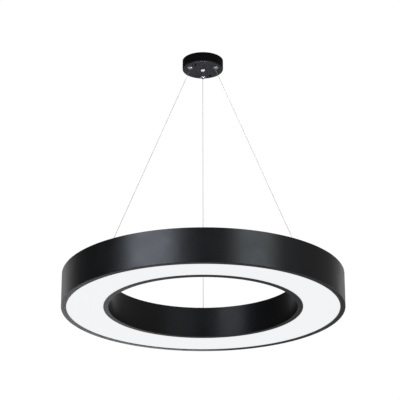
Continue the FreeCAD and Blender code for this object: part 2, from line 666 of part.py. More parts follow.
# ================================================================== light engine
tray_low = ledge_top
tray_top = tray_low + S("tray_thick")
revolve("gear_tray_blank",
        [(R_in + wall + S("tray_gap"), tray_low), (R_out - wall - S("tray_gap"), tray_low),
         (R_out - wall - S("tray_gap"), tray_top + 3), (R_out - wall - S("tray_gap") - S("tray_thick"), tray_top + 3),
         (R_out - wall - S("tray_gap") - S("tray_thick"), tray_top),
         (R_in + wall + S("tray_gap") + S("tray_thick"), tray_top),
         (R_in + wall + S("tray_gap") + S("tray_thick"), tray_top + 3), (R_in + wall + S("tray_gap"), tray_top + 3)])

tray_blank = KEPT.pop()
board_low = tray_low - S("board_thick")
body = new_body("body_led_boards")
sketch = new_sketch(body, "board_section", "XZ_Plane")
outline(sketch, [(S("board_inner"), board_low), (S("board_outer"), board_low), (S("board_outer"), tray_low), (S("board_inner"), tray_low)])
board = body.newObject("PartDesign::Revolution", "board")
board.Profile = sketch
board.ReferenceAxis = (sketch, ["V_Axis"])
board.Angle = VALUE["board_angle"]
bind(board, "Angle", S("board_angle"))
body.Tip = board
repeat(body, board, 6, "led_boards")
place(body, 0, 0, 0, 1.0)

# Holes for the board screws through boards and tray, and for two leads
# through the tray.
holes = []
for n in range(12):
    x, y = polar(S("board_outer") - 5, 15.0 + 30.0 * n)
    holes.append(cylinder("board_screw_hole_%d" % n, 1.35, S("board_thick") + S("tray_thick") + 1, x, y, board_low - 0.5))
keep(cut("led_boards_cut", body, fuse("board_screw_holes", holes)), "led_boards")
LEADS = (-12.0, -4.0)
lead_holes = []
for offset in LEADS:
    c, s = math.cos(math.radians(55.0)), math.sin(math.radians(55.0))
    across, along = S("driver_circle") + offset, S("driver_long") / 2 + 16
    lead_holes.append(cylinder("lead_hole_%d" % int(-offset), S("lead_radius") + 0.4, S("tray_thick") + 1,
                               across * Size(c, "%.12g" % c) + along * Size(s, "%.12g" % s),
                               across * Size(s, "%.12g" % s) - along * Size(c, "%.12g" % c), tray_low - 0.5))
keep(cut("gear_tray_cut", tray_blank, fuse("tray_holes", [cylinder("tray_screw_hole_%d" % n, 1.35, S("tray_thick") + 1,
     *polar(S("board_outer") - 5, 15.0 + 30.0 * n), tray_low - 0.5) for n in range(12)] + lead_holes)), "gear_tray")

body = new_body("body_led_chips")
sketch = new_sketch(body, "chip_outline", "XY_Plane")
lo, hi = S("led_circle") - S("led_wide") / 2, S("led_circle") + S("led_wide") / 2
outline(sketch, [(lo, -S("led_long") / 2), (hi, -S("led_long") / 2), (hi, S("led_long") / 2), (lo, S("led_long") / 2)])
chip = pad(body, sketch, S("led_high"), "chip", down=True)
chips = repeat(body, chip, 72, "led_chips")
bind(chips, "Occurrences", S("led_count"))
place(body, 0, 0, board_low, 2.5)
keep(body, "led_chips")

board_screws = screw_row("board_screws_row", S("board_outer") - 5, 12, 15.0, board_low, Size.of(2.6), Size.of(1.2),
                         Size.of(1.3), S("board_thick") + S("tray_thick") - 0.05, up=False)
group("board_screws", [board_screws])

# Opal diffuser: a slightly dished ring whose two flat edges lie on the rims.
diffuser_low = bottom + wall
inner_low = inner_bottom + wall
thick = S("diffuser_thick")
revolve("diffuser",
        [(R_in + wall + S("diffuser_gap"), inner_low), (R_in + rim, inner_low), (R_out - rim, diffuser_low),
         (R_out - wall - S("diffuser_gap"), diffuser_low), (R_out - wall - S("diffuser_gap"), diffuser_low + thick),
         (R_out - rim, diffuser_low + thick), (R_in + rim, inner_low + thick),
         (R_in + wall + S("diffuser_gap"), inner_low + thick)])

# Spring clips on the walls that hold the diffuser down.
members = []
for n in range(12):
    for radius, sign, diffuser_top in ((R_out - wall, -1, diffuser_low + thick), (R_in + wall, 1, inner_low + thick)):
        angle = 30.0 * n + 7.5
        x, y = polar(radius + 0.58 * sign, angle)
        leg = box("clip_leg_%d_%d" % (n, sign + 1), 1.0, 9.0, 9.0, x, y, diffuser_top, angle)
        x, y = polar(radius + 3.08 * sign, angle)
        foot = box("clip_foot_%d_%d" % (n, sign + 1), 6.0, 9.0, 0.8, x, y, diffuser_top, angle)
        members.append(fuse("clip_%d_%d" % (n, sign + 1), [leg, foot]))
group("diffuser_clips", members)

# Splice plates inside the shells, where the rolled strips meet.
members = []
for angle in (0.0, 180.0):
    x, y = polar(R_out - wall - 1.8, angle)
    members.append(box("splice_outer_%d" % int(angle), 1.2, 40.0, 22.0, x, y, tray_top + 4, angle))
    x, y = polar(R_in + wall + 1.8, angle)
    members.append(box("splice_inner_%d" % int(angle), 1.2, 30.0, 22.0, x, y, tray_top + 4, angle))
group("splice_plates", members)

# Driver on the tray at the right rear: open case, lid, four screws.
DRIVER = 55.0
x, y = polar(S("driver_circle"), DRIVER)
case = box("driver_block", S("driver_wide"), S("driver_long"), S("driver_high"), x, y, tray_top, DRIVER)
hollow = box("driver_hollow", S("driver_wide") - S("driver_wall") * 2, S("driver_long") - S("driver_wall") * 2,
             S("driver_high"), x, y, tray_top + S("driver_wall"), DRIVER)
keep(cut("driver_case_cut", case, hollow), "driver_case")
lid_base = tray_top + S("driver_high")
keep(box("driver_lid_box", S("driver_wide"), S("driver_long"), S("driver_lid_thick"), x, y, lid_base, DRIVER), "driver_lid")
keep(box("driver_core_box", S("driver_wide") - 9.0, S("driver_long") - 14.0, S("driver_high") - 7.0, x, y,
         tray_top + S("driver_wall"), DRIVER), "driver_core")
members = []
c, s = math.cos(math.radians(DRIVER)), math.sin(math.radians(DRIVER))
for a in (-1, 1):
    for b in (-1, 1):
        u = (S("driver_wide") / 2 - 4.0) * a
        v = (S("driver_long") / 2 - 4.0) * b
        members.append(cylinder("driver_screw_%d_%d" % (a + 1, b + 1), 2.2, 1.0,
                                x + u * Size(c, "%.12g" % c) - v * Size(s, "%.12g" % s),
                                y + u * Size(s, "%.12g" % s) + v * Size(c, "%.12g" % c),
                                lid_base + S("driver_lid_thick")))
group("driver_screws", members)

# Terminal block in the ring, beside the cord inlet, with its clamp screws.
TERMINAL = 84.0
x, y = polar(S("driver_circle"), TERMINAL)
c, s = math.cos(math.radians(TERMINAL)), math.sin(math.radians(TERMINAL))
C_, S_ = Size(c, "%.12g" % c), Size(s, "%.12g" % s)
block = box("ring_block_solid", S("block_wide"), S("block_long"), S("block_high"), x, y, tray_top, TERMINAL)
tools, members = [], []
for step in (-1, 0, 1):
    for end in (-1, 1):
        v = S("block_pitch") * step
        u = S("block_wide") * 0.27 * end
        tools.append(cylinder("ring_block_hole_%d_%d" % (step + 1, end + 1), S("clamp_radius") + 0.2, S("block_high"),
                              x + u * C_ - v * S_, y + u * S_ + v * C_, tray_top + S("block_high") * 0.5))
        members.append(cylinder("ring_clamp_%d_%d" % (step + 1, end + 1), S("clamp_radius"), S("clamp_high"),
                                x + u * C_ - v * S_, y + u * S_ + v * C_, tray_top + S("block_high") - S("clamp_high") - 0.4))
keep(cut("ring_block_cut", block, fuse("ring_block_holes", tools)), "ring_terminal_block")
group("ring_terminal_screws", members)


def run(name, points, radius):
    """A lead: straight runs joined by tangent arcs, as one tube. The radius of
    each arc is 0.45 of its shorter run over the tangent of half the turn."""
    points = [FreeCAD.Vector(*p) for p in points]
    edges, at, radii, length = [], points[0], [], 0.0
    for i in range(1, len(points) - 1):
        a, b = points[i] - points[i - 1], points[i + 1] - points[i]
        turn = a.getAngle(b)
        reach = 0.45 * min(a.Length, b.Length)
        radii.append(reach / math.tan(turn / 2))
        ua, ub = FreeCAD.Vector(a).normalize(), FreeCAD.Vector(b).normalize()
        start, end = points[i] - ua * reach, points[i] + ub * reach
        centre_way = (ub - ua).normalize()
        centre = points[i] + centre_way * (radii[-1] / math.cos(turn / 2))
        middle = centre - centre_way * radii[-1]
        edges.append(Part.LineSegment(at, start).toShape())
        edges.append(Part.Arc(start, middle, end).toShape())
        length += (start - at).Length + radii[-1] * turn
        at = end
    edges.append(Part.LineSegment(at, points[-1]).toShape())
    length += (points[-1] - at).Length
    wire = Part.Wire(edges)
    ring = Part.Wire(Part.Circle(points[0], points[1] - points[0], radius).toShape())
    tube = wire.makePipeShell([ring], True, True)
    print("%s: length %.1f, radii %s, volume ratio %.4f" % (
        name, length, ["%.1f" % r for r in radii], tube.Volume / (math.pi * radius ** 2 * length)))
    return tube


def ring_point(radius, degrees, height):
    return (radius * math.cos(math.radians(degrees)), radius * math.sin(math.radians(degrees)), height)


def feature(label, shapes):
    obj = doc.addObject("Part::Feature", "feature_" + label)
    obj.Shape = shapes[0] if len(shapes) == 1 else Part.makeCompound(shapes)
    obj.Placement = FreeCAD.Placement()
    return keep(obj, label)


lead = VALUE["lead_radius"]
mid = VALUE["driver_circle"]
level = tray_top.value + VALUE["block_high"] * 0.45
block_end = math.degrees(math.atan2(VALUE["block_long"] / 2, mid))
case_end = math.degrees(math.atan2(VALUE["driver_long"] / 2, mid))
shapes = []
for offset in (-4.0, 4.0):
    along = (DRIVER + case_end, TERMINAL - block_end)
    def spot(t, out, up=0.0):
        a = along[0] + (along[1] - along[0]) * t
        return ring_point(mid + offset + out, a, level + up)
    # the ends are square to the case and to the block
    ux, uy = -math.sin(math.radians(DRIVER)), math.cos(math.radians(DRIVER))
    cx, cy = mid * math.cos(math.radians(DRIVER)), mid * math.sin(math.radians(DRIVER))
    rx, ry = math.cos(math.radians(DRIVER)), math.sin(math.radians(DRIVER))
    half_case = VALUE["driver_long"] / 2
    p0 = (cx + ux * half_case + rx * offset, cy + uy * half_case + ry * offset, level)
    p1 = (cx + ux * (half_case + 12) + rx * offset, cy + uy * (half_case + 12) + ry * offset, level)
    vx, vy = math.sin(math.radians(TERMINAL)), -math.cos(math.radians(TERMINAL))
    bx, by = mid * math.cos(math.radians(TERMINAL)), mid * math.sin(math.radians(TERMINAL))
    qx, qy = math.cos(math.radians(TERMINAL)), math.sin(math.radians(TERMINAL))
    half_block = VALUE["block_long"] / 2
    p4 = (bx + vx * half_block + qx * offset, by + vy * half_block + qy * offset, level)
    p3 = (bx + vx * (half_block + 12) + qx * offset, by + vy * (half_block + 12) + qy * offset, level)
    p2 = ((p1[0] + p3[0]) / 2, (p1[1] + p3[1]) / 2, level + 5.0)
    shapes.append(run("driver lead", [p0, p1, p2, p3, p4], lead))
feature("driver_leads", shapes)

# Leads from the other end of the driver down through the tray to a board.
shapes = []
for offset in LEADS:
    ux, uy = math.sin(math.radians(DRIVER)), -math.cos(math.radians(DRIVER))
    cx, cy = mid * math.cos(math.radians(DRIVER)), mid * math.sin(math.radians(DRIVER))
    rx, ry = math.cos(math.radians(DRIVER)), math.sin(math.radians(DRIVER))
    half_case = VALUE["driver_long"] / 2
    def at_end(way, up):
        return (cx + ux * (half_case + way) + rx * offset, cy + uy * (half_case + way) + ry * offset, up)
    shapes.append(run("board lead", [at_end(0, level), at_end(16, level), at_end(16, tray_low.value + 0.02)], lead))
feature("board_leads", shapes)

# ================================================================== anchors, inlet
anchor_top = plate_top + S("anchor_high")
revolve("wire_anchors",
        [(0, plate_top - S("anchor_stud_long")), (S("anchor_stud"), plate_top - S("anchor_stud_long")),
         (S("anchor_stud"), plate_top), (S("anchor_flange"), plate_top),
         (S("anchor_flange"), plate_top + S("anchor_flange_high")), (S("anchor_boss"), plate_top + S("anchor_flange_high") + 1.2),
         (S("anchor_boss"), anchor_top - 1.2), (S("anchor_boss") - 1.0, anchor_top), (S("anchor_mouth"), anchor_top),
         (S("wire_bore"), anchor_top - 2.5), (0, anchor_top - 2.5)],
        at=S("anchor_circle"), copies=3, turn=REAR)
members = []
for side, angle in SIDES:
    x, y = polar(S("anchor_circle"), angle)
    nut = hexagon("anchor_nut_" + side, S("anchor_nut"), S("anchor_nut_high"), x, y, plate_low - S("anchor_nut_high"), angle)
    bore = cylinder("anchor_nut_bore_" + side, S("anchor_stud"), S("anchor_nut_high") + 2, x, y, plate_low - S("anchor_nut_high") - 1)
    members.append(cut("anchor_nut_cut_" + side, nut, bore))
group("anchor_nuts", members)

x, y = polar(S("anchor_circle"), VALUE["gland_angle"])
gland = hexagon("gland_hex", S("gland_body"), S("gland_high") * 0.45, x, y, plate_top, VALUE["gland_angle"])
neck = cylinder("gland_neck", S("gland_body") * 0.8, S("gland_high"), x, y, plate_top)
thread = cylinder("gland_screw", S("gland_thread"), S("gland_thread_long"), x, y, plate_top - S("gland_thread_long"))
bore = cylinder("gland_way", S("gland_bore"), S("gland_high") + S("gland_thread_long") + 2, x, y, plate_top - S("gland_thread_long") - 1)
keep(cut("gland_cut", fuse("gland_fused", [gland, neck, thread]), bore), "inlet_gland")
nut = hexagon("gland_nut_hex", S("gland_nut"), S("gland_nut_high"), x, y, plate_low - S("gland_nut_high"), VALUE["gland_angle"])
bore = cylinder("gland_nut_bore", S("gland_thread"), S("gland_nut_high") + 2, x, y, plate_low - S("gland_nut_high") - 1)
keep(cut("gland_nut_cut", nut, bore), "inlet_nut")

# ================================================================== wires
# Taut straight steel wires from the grippers down to the anchors.
wire_high = underside.value - VALUE["wire_start"]
wire_low = anchor_top.value + 0.35
for side, angle in SIDES:
    a = ring_point(VALUE["circle_radius"], angle, wire_high)
    b = ring_point(VALUE["anchor_circle"], angle, wire_low)
    va, vb = FreeCAD.Vector(*a), FreeCAD.Vector(*b)
    length = (vb - va).Length
    tube = Part.makeCylinder(VALUE["wire_radius"], length, va, vb - va)
    print("wire %s: length %.2f" % (side, length))
    feature("cable_" + side, [tube])

# ------------------------------------------------------------------ write
doc.recompute()
bad = []
for obj in doc.Objects:
    if any(state in ("Invalid", "Error") for state in obj.State):
        bad.append("%s %s %s" % (obj.Name, obj.Label, obj.State))
for obj in KEPT:
    shape = obj.Shape
    if shape.isNull() or not shape.isValid() or not shape.Solids:
        bad.append("%s has no valid solid" % obj.Label)
if bad:
    raise RuntimeError("; ".join(bad))
os.makedirs("parts", exist_ok=True)
for obj in KEPT:
    obj.Shape.exportStep(os.path.join("parts", obj.Label + ".step"))
    print("%-22s solids %3d  volume %10.1f mm3" % (obj.Label, len(obj.Shape.Solids), obj.Shape.Volume))
print("pieces written:", len(KEPT))
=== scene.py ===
import json
import math

import bmesh
import bpy
from mathutils import Matrix, Vector

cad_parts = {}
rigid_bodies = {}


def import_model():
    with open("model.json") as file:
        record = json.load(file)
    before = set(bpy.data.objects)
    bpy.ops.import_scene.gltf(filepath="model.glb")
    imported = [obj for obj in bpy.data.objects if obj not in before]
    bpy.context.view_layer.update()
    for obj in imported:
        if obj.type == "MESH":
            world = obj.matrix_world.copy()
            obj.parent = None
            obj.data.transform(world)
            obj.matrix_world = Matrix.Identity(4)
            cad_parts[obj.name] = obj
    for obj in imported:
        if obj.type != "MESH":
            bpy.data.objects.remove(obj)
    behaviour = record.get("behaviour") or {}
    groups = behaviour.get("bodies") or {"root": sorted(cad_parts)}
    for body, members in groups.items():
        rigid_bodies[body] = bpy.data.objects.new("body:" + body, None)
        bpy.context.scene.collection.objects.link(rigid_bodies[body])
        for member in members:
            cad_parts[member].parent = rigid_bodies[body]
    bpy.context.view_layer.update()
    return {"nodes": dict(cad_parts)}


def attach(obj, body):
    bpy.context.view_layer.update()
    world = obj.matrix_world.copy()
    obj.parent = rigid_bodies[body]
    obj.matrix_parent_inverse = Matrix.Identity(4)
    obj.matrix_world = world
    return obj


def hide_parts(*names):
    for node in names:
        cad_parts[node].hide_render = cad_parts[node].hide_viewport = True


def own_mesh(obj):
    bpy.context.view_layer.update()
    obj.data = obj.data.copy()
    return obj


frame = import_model()
nodes = frame["nodes"]
scene = bpy.context.scene
MM = 0.001

# ------------------------------------------------------------------ sizes, in millimetres
UNDER = -23.0                    # canopy underside
CIRCLE = 32.7                    # circle of the grippers and face screws
SIDES = (("left", 210.0), ("right", 330.0), ("rear", 90.0))
BOTTOM, TOP = -584.0, -511.0     # ring
INNER_TOP = TOP - 2.0
PLATE_TOP = TOP - 2.5
PLATE_LOW = PLATE_TOP - 1.5
R_OUT, R_IN, WALL, RIM = 300.0, 200.0, 1.5, 11.0
LEDGE = BOTTOM + 34.0
ANCHOR = 232.0
LIFT = 3.5                       # the inner rim stands this much above the outer one
WIRE_HIGH = UNDER - 6.6
ANCHOR_TOP = PLATE_TOP + 9.5
GLAND = 107.0


def on_circle(radius, degrees):
    return radius * math.cos(math.radians(degrees)), radius * math.sin(math.radians(degrees))


# ------------------------------------------------------------------ camera
PITCH, YAW, ROLL = 21.684, 0.104, -0.06
camera_data = bpy.data.cameras.new("view_camera")
camera_data.sensor_fit = "HORIZONTAL"
camera_data.sensor_width = 36.0
camera_data.lens = 1790.0 / 400.0 * 36.0
camera_data.clip_start = 0.05
camera_data.clip_end = 60.0
camera = bpy.data.objects.new("view_camera", camera_data)
scene.collection.objects.link(camera)
camera.matrix_world = (Matrix.Translation((0.0, -3.6, -0.584 - 1.1815))
                       @ Matrix.Rotation(math.radians(YAW), 4, "Z")
                       @ Matrix.Rotation(math.radians(90.0 + PITCH), 4, "X")
                       @ Matrix.Rotation(math.radians(ROLL), 4, "Z"))
scene.camera = camera
scene.view_settings.view_transform = "Standard"
scene.view_settings.look = "None"
scene.view_settings.exposure = 0.0
scene.view_settings.gamma = 1.0


# ------------------------------------------------------------------ materials
def new_material(name, color, metallic=0.0, rough=0.4, spec=0.5, coat=0.0, coat_rough=0.1, ior=1.45):
    mat = bpy.data.materials.new(name)
    mat.use_nodes = True
    tree = mat.node_tree
    shader = tree.nodes["Principled BSDF"]
    shader.inputs["Base Color"].default_value = (*color, 1.0)
    shader.inputs["Metallic"].default_value = metallic
    shader.inputs["Roughness"].default_value = rough
    shader.inputs["IOR"].default_value = ior
    shader.inputs["Specular IOR Level"].default_value = spec
    shader.inputs["Coat Weight"].default_value = coat
    shader.inputs["Coat Roughness"].default_value = coat_rough
    return mat, tree, shader


def position(tree):
    """Object coordinates: the objects all sit at the frame's origin, in metres."""
    node = tree.nodes.new("ShaderNodeTexCoord")
    return node.outputs["Object"]


def noise(tree, scale, detail=3.0, rough=0.55, vector=None):
    node = tree.nodes.new("ShaderNodeTexNoise")
    node.inputs["Scale"].default_value = scale
    node.inputs["Detail"].default_value = detail
    node.inputs["Roughness"].default_value = rough
    tree.links.new(vector if vector is not None else position(tree), node.inputs["Vector"])
    return node.outputs["Fac"]


def ramp(tree, fac, stops):
    node = tree.nodes.new("ShaderNodeValToRGB")
    tree.links.new(fac, node.inputs["Fac"])
    elements = node.color_ramp.elements
    while len(elements) > 1:
        elements.remove(elements[-1])
    elements[0].position = stops[0][0]
    elements[0].color = (*stops[0][1], 1.0)
    for place, color in stops[1:]:
        element = elements.new(place)
        element.color = (*color, 1.0)
    return node.outputs["Color"]


def spread(tree, fac, low, high, from_low=0.3, from_high=0.7):
    node = tree.nodes.new("ShaderNodeMapRange")
    tree.links.new(fac, node.inputs["Value"])
    node.inputs["From Min"].default_value = from_low
    node.inputs["From Max"].default_value = from_high
    node.inputs["To Min"].default_value = low
    node.inputs["To Max"].default_value = high
    return node.outputs["Result"]


def bump(tree, shader, height, strength, distance, below=None):
    node = tree.nodes.new("ShaderNodeBump")
    node.inputs["Strength"].default_value = strength
    node.inputs["Distance"].default_value = distance
    tree.links.new(height, node.inputs["Height"])
    if below is not None:
        tree.links.new(below, node.inputs["Normal"])
    tree.links.new(node.outputs["Normal"], shader.inputs["Normal"])
    return node.outputs["Normal"]


def mix(tree, fac, a, b):
    node = tree.nodes.new("ShaderNodeMix")
    node.data_type = "RGBA"
    for socket, value in ((node.inputs[0], fac), (node.inputs[6], a), (node.inputs[7], b)):
        if isinstance(value, tuple):
            socket.default_value = (*value, 1.0)
        elif isinstance(value, float):
            socket.default_value = value
        else:
            tree.links.new(value, socket)
    return node.outputs[2]


def powder_coat(name, dark, light, rough_low, rough_high, spec, peel=900.0, bottom_scuff_and_light=None):
    """Satin powder coat: cloudy tone, fine orange peel and, where asked, a lighter tone
    in scuffed flecks over a bottom band: partly rubbed wear, partly painted light on the downward face."""
    mat, tree, shader = new_material(name, dark, 0.0, rough_low, spec)
    cloud = noise(tree, 14.0, 4.0, 0.6)
    color = ramp(tree, cloud, [(0.30, dark), (0.70, light)])
    if bottom_scuff_and_light is not None:
        # Lighter tone in scuffed flecks over the bottom band: partly rubbed wear, partly painted light on the
        # downward-facing surface.
        low, high, tone = bottom_scuff_and_light
        separate = tree.nodes.new("ShaderNodeSeparateXYZ")
        tree.links.new(position(tree), separate.inputs[0])
        edge = spread(tree, separate.outputs["Z"], 1.0, 0.0, low, high)
        scuff = spread(tree, noise(tree, 160.0, 5.0, 0.7), 0.0, 1.0, 0.45, 0.7)
        times = tree.nodes.new("ShaderNodeMath")
        times.operation = "MULTIPLY"
        tree.links.new(edge, times.inputs[0])
        tree.links.new(scuff, times.inputs[1])
        color = mix(tree, times.outputs[0], color, tone)
    tree.links.new(color, shader.inputs["Base Color"])
    patch = noise(tree, 34.0, 3.0, 0.5)
    tree.links.new(spread(tree, patch, rough_low, rough_high), shader.inputs["Roughness"])
    bump(tree, shader, noise(tree, peel, 2.0, 0.45), 0.10, 0.00004)
    return mat


def metal(name, color, rough_low, rough_high, grain=2600.0, strength=0.12, metallic=1.0):
    mat, tree, shader = new_material(name, color, metallic, rough_low, 0.5)
    stain = noise(tree, 120.0, 4.0, 0.6)
    darker = tuple(c * 0.86 for c in color)
    tree.links.new(ramp(tree, stain, [(0.3, darker), (0.65, color)]), shader.inputs["Base Color"])
    tree.links.new(spread(tree, noise(tree, 420.0, 3.0, 0.6), rough_low, rough_high), shader.inputs["Roughness"])
    bump(tree, shader, noise(tree, grain, 2.0, 0.5), strength, 0.00002)
    return mat


def plastic(name, color, rough_low, rough_high, grain=1500.0, strength=0.08, spec=0.5):
    mat, tree, shader = new_material(name, color, 0.0, rough_low, spec)
    tone = noise(tree, 60.0, 3.0, 0.5)
    darker = tuple(c * 0.94 for c in color)
    tree.links.new(ramp(tree, tone, [(0.3, darker), (0.7, color)]), shader.inputs["Base Color"])
    tree.links.new(spread(tree, noise(tree, 240.0, 3.0, 0.5), rough_low, rough_high), shader.inputs["Roughness"])
    bump(tree, shader, noise(tree, grain, 2.0, 0.5), strength, 0.00003)
    return mat


# Lighter flecks on the ring's bottom rim: partly wear, partly painted light on the downward-facing rim.
coat_black = powder_coat("satin_black_coat", (0.0052, 0.0054, 0.0058), (0.0072, 0.0075, 0.0081), 0.29, 0.35, 0.48,
                         bottom_scuff_and_light=(-0.584, -0.5825, (0.020, 0.020, 0.021)))
coat_top = powder_coat("satin_black_top", (0.0100, 0.0102, 0.0108), (0.0140, 0.0143, 0.0150), 0.38, 0.46, 0.35)
# The canopy's coat is a darker, duller copy of the ring's: painted shade on its walls. Its lighter scuffed bottom band
# is partly wear, partly painted light on the underside.
canopy_coat_shaded = powder_coat("satin_black_canopy_shaded", (0.0036, 0.0036, 0.0039), (0.0052, 0.0052, 0.0056), 0.40, 0.50, 0.06,
                          bottom_scuff_and_light=(-0.0235, -0.0205, (0.009, 0.009, 0.0095)))
screw_black = metal("black_zinc", (0.0020, 0.0020, 0.0021), 0.50, 0.65, metallic=0.0)
screw_black.node_tree.nodes["Principled BSDF"].inputs["Specular IOR Level"].default_value = 0.05
nickel = metal("satin_nickel", (0.80, 0.79, 0.77), 0.20, 0.32)
# Darker nickel for the plungers: painted shade standing in for the dark centre of each gripper's mouth.
plunger_shade_metal = metal("dark_nickel", (0.25, 0.25, 0.255), 0.28, 0.40)
polished = metal("ball_steel", (0.82, 0.82, 0.83), 0.06, 0.12, strength=0.03)
zinc = metal("bright_zinc", (0.62, 0.64, 0.67), 0.28, 0.45)
spring_steel = metal("spring_steel", (0.52, 0.52, 0.53), 0.25, 0.38)
brass = metal("plain_brass", (0.72, 0.54, 0.26), 0.22, 0.36)
bare_aluminium = metal("mill_aluminium", (0.70, 0.71, 0.72), 0.34, 0.50)
wire_steel = metal("wire_steel", (0.78, 0.78, 0.79), 0.42, 0.52, grain=5000.0, strength=0.05, metallic=0.55)
nylon_white = plastic("white_nylon", (0.86, 0.86, 0.86), 0.30, 0.42)
nylon_natural = plastic("natural_nylon", (0.78, 0.77, 0.72), 0.34, 0.46)
mask_white = plastic("board_mask", (0.84, 0.85, 0.84), 0.30, 0.40)
coat_white = plastic("white_coat", (0.84, 0.84, 0.84), 0.42, 0.52, grain=900.0)
potting = plastic("potting", (0.02, 0.02, 0.021), 0.28, 0.45)
sleeve = plastic("lead_sleeve", (0.74, 0.74, 0.73), 0.40, 0.50)

opal, tree, shader = new_material("opal_acrylic", (0.80, 0.81, 0.82), 0.0, 0.42, 0.30)
tree.links.new(ramp(tree, noise(tree, 9.0, 2.0, 0.5), [(0.3, (0.775, 0.785, 0.800)), (0.7, (0.805, 0.812, 0.825))]),
               shader.inputs["Base Color"])
tree.links.new(spread(tree, noise(tree, 300.0, 3.0, 0.5), 0.40, 0.48), shader.inputs["Roughness"])
bump(tree, shader, noise(tree, 1400.0, 2.0, 0.5), 0.05, 0.00003)
shader.inputs["Emission Color"].default_value = (0.975, 0.985, 1.0, 1.0)
shader.inputs["Emission Strength"].default_value = 0.725

led_lens, tree, shader = new_material("led_lens", (0.90, 0.74, 0.22), 0.0, 0.25, 0.5)
tree.links.new(ramp(tree, noise(tree, 900.0, 2.0, 0.5), [(0.3, (0.86, 0.68, 0.16)), (0.7, (0.92, 0.78, 0.28))]),
               shader.inputs["Base Color"])
shader.inputs["Emission Color"].default_value = (1.0, 0.93, 0.78, 1.0)
shader.inputs["Emission Strength"].default_value = 2.0


# ------------------------------------------------------------------ mesh helpers
def finish_mesh(bm, name, mat, sharp=32.0, body=None, stands_for=()):
    bmesh.ops.remove_doubles(bm, verts=bm.verts, dist=1e-7)
    bmesh.ops.recalc_face_normals(bm, faces=bm.faces)
    mesh = bpy.data.meshes.new(name)
    bm.to_mesh(mesh)
    bm.free()
    for polygon in mesh.polygons:
        polygon.use_smooth = True
    mesh.set_sharp_from_angle(angle=math.radians(sharp))
    mesh.materials.append(mat)
    obj = bpy.data.objects.new(name, mesh)
    scene.collection.objects.link(obj)
    if body is not None:
        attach(obj, body)
    if stands_for:
        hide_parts(*stands_for)
    return obj


def soften(profile, steps=4, hold=0.35):
    """Rounds the corners of a closed (radius, height, corner radius) outline,
    with a holding point on each side so that the flats stay flat."""
    out = []
    count = len(profile)
    for i, (r, z, rad) in enumerate(profile):
        here = Vector((r, z))
        before = Vector(profile[i - 1][:2])
        after = Vector(profile[(i + 1) % count][:2])
        a, b = before - here, after - here
        if rad <= 0 or a.length < 1e-9 or b.length < 1e-9:
            out.append((r, z))
            continue
        ua, ub = a.normalized(), b.normalized()
        inner = ua.angle(ub)
        reach = rad / math.tan(inner / 2)
        limit = 0.42 * min(a.length, b.length)
        if reach > limit:
            rad *= limit / reach
            reach = limit
        start, end = here + ua * reach, here + ub * reach
        centre = here + (ua + ub).normalized() * (rad / math.sin(inner / 2))
        va, vb = start - centre, end - centre
        turn = va.angle(vb)
        cross = va.x * vb.y - va.y * vb.x
        turn = turn if cross > 0 else -turn
        support = min(hold * rad + 0.05, 0.4 * (min(a.length, b.length) - reach))
        out.append(tuple(start + ua * support))
        for k in range(steps + 1):
            angle = turn * k / steps
            c, s = math.cos(angle), math.sin(angle)
            p = centre + Vector((va.x * c - va.y * s, va.x * s + va.y * c))
            out.append((p.x, p.y))
        out.append(tuple(end + ub * support))
    return out


def turn_into(bm, outline, segments, x=0.0, y=0.0, closed=True, matrix=None):
    """Adds the outline, turned about a vertical axis at x, y, to bm. In mm."""
    rings = []
    for r, z in outline:
        if r < 1e-6:
            rings.append([bm.verts.new((x * MM, y * MM, z * MM))])
            continue
        ring = []
        for k in range(segments):
            a = 2 * math.pi * k / segments
            ring.append(bm.verts.new(((x + r * math.cos(a)) * MM, (y + r * math.sin(a)) * MM, z * MM)))
        rings.append(ring)
    made = [v for ring in rings for v in ring]
    pairs = list(zip(rings, rings[1:]))
    if closed:
        pairs.append((rings[-1], rings[0]))
    for low, high in pairs:
        for k in range(segments):
            n = (k + 1) % segments
            if len(low) == 1 and len(high) == 1:
                continue
            if len(low) == 1:
                bm.faces.new((low[0], high[n], high[k]))
            elif len(high) == 1:
                bm.faces.new((low[k], low[n], high[0]))
            else:
                bm.faces.new((low[k], low[n], high[n], high[k]))
    if matrix is not None:
        bmesh.ops.transform(bm, matrix=matrix, verts=made)
    return made


def nut_into(bm, radius, bore, low, high, x, y, turn, segments=24, chamfer=0.5):
    """A hexagon nut with a round bore and chamfered corners."""
    outline_levels = [(low, radius * 0.93), (low + chamfer, radius), (high - chamfer, radius), (high, radius * 0.93)]
    rings = []
    flat = math.pi / 6
    for z, limit in outline_levels:
        ring = []
        for k in range(segments):
            a = 2 * math.pi * k / segments
            local = ((a + flat) % (2 * flat)) - flat
            r = min(radius * math.cos(flat) / math.cos(local), limit)
            b = a + math.radians(turn) + flat
            ring.append(bm.verts.new(((x + r * math.cos(b)) * MM, (y + r * math.sin(b)) * MM, z * MM)))
        rings.append(ring)
    for z in (high, low):
        ring = []
        for k in range(segments):
            b = 2 * math.pi * k / segments + math.radians(turn) + flat
            ring.append(bm.verts.new(((x + bore * math.cos(b)) * MM, (y + bore * math.sin(b)) * MM, z * MM)))
        rings.append(ring)
    pairs = list(zip(rings, rings[1:])) + [(rings[-1], rings[0])]
    for a, b in pairs:
        for k in range(segments):
            n = (k + 1) % segments
            bm.faces.new((a[k], a[n], b[n], b[k]))


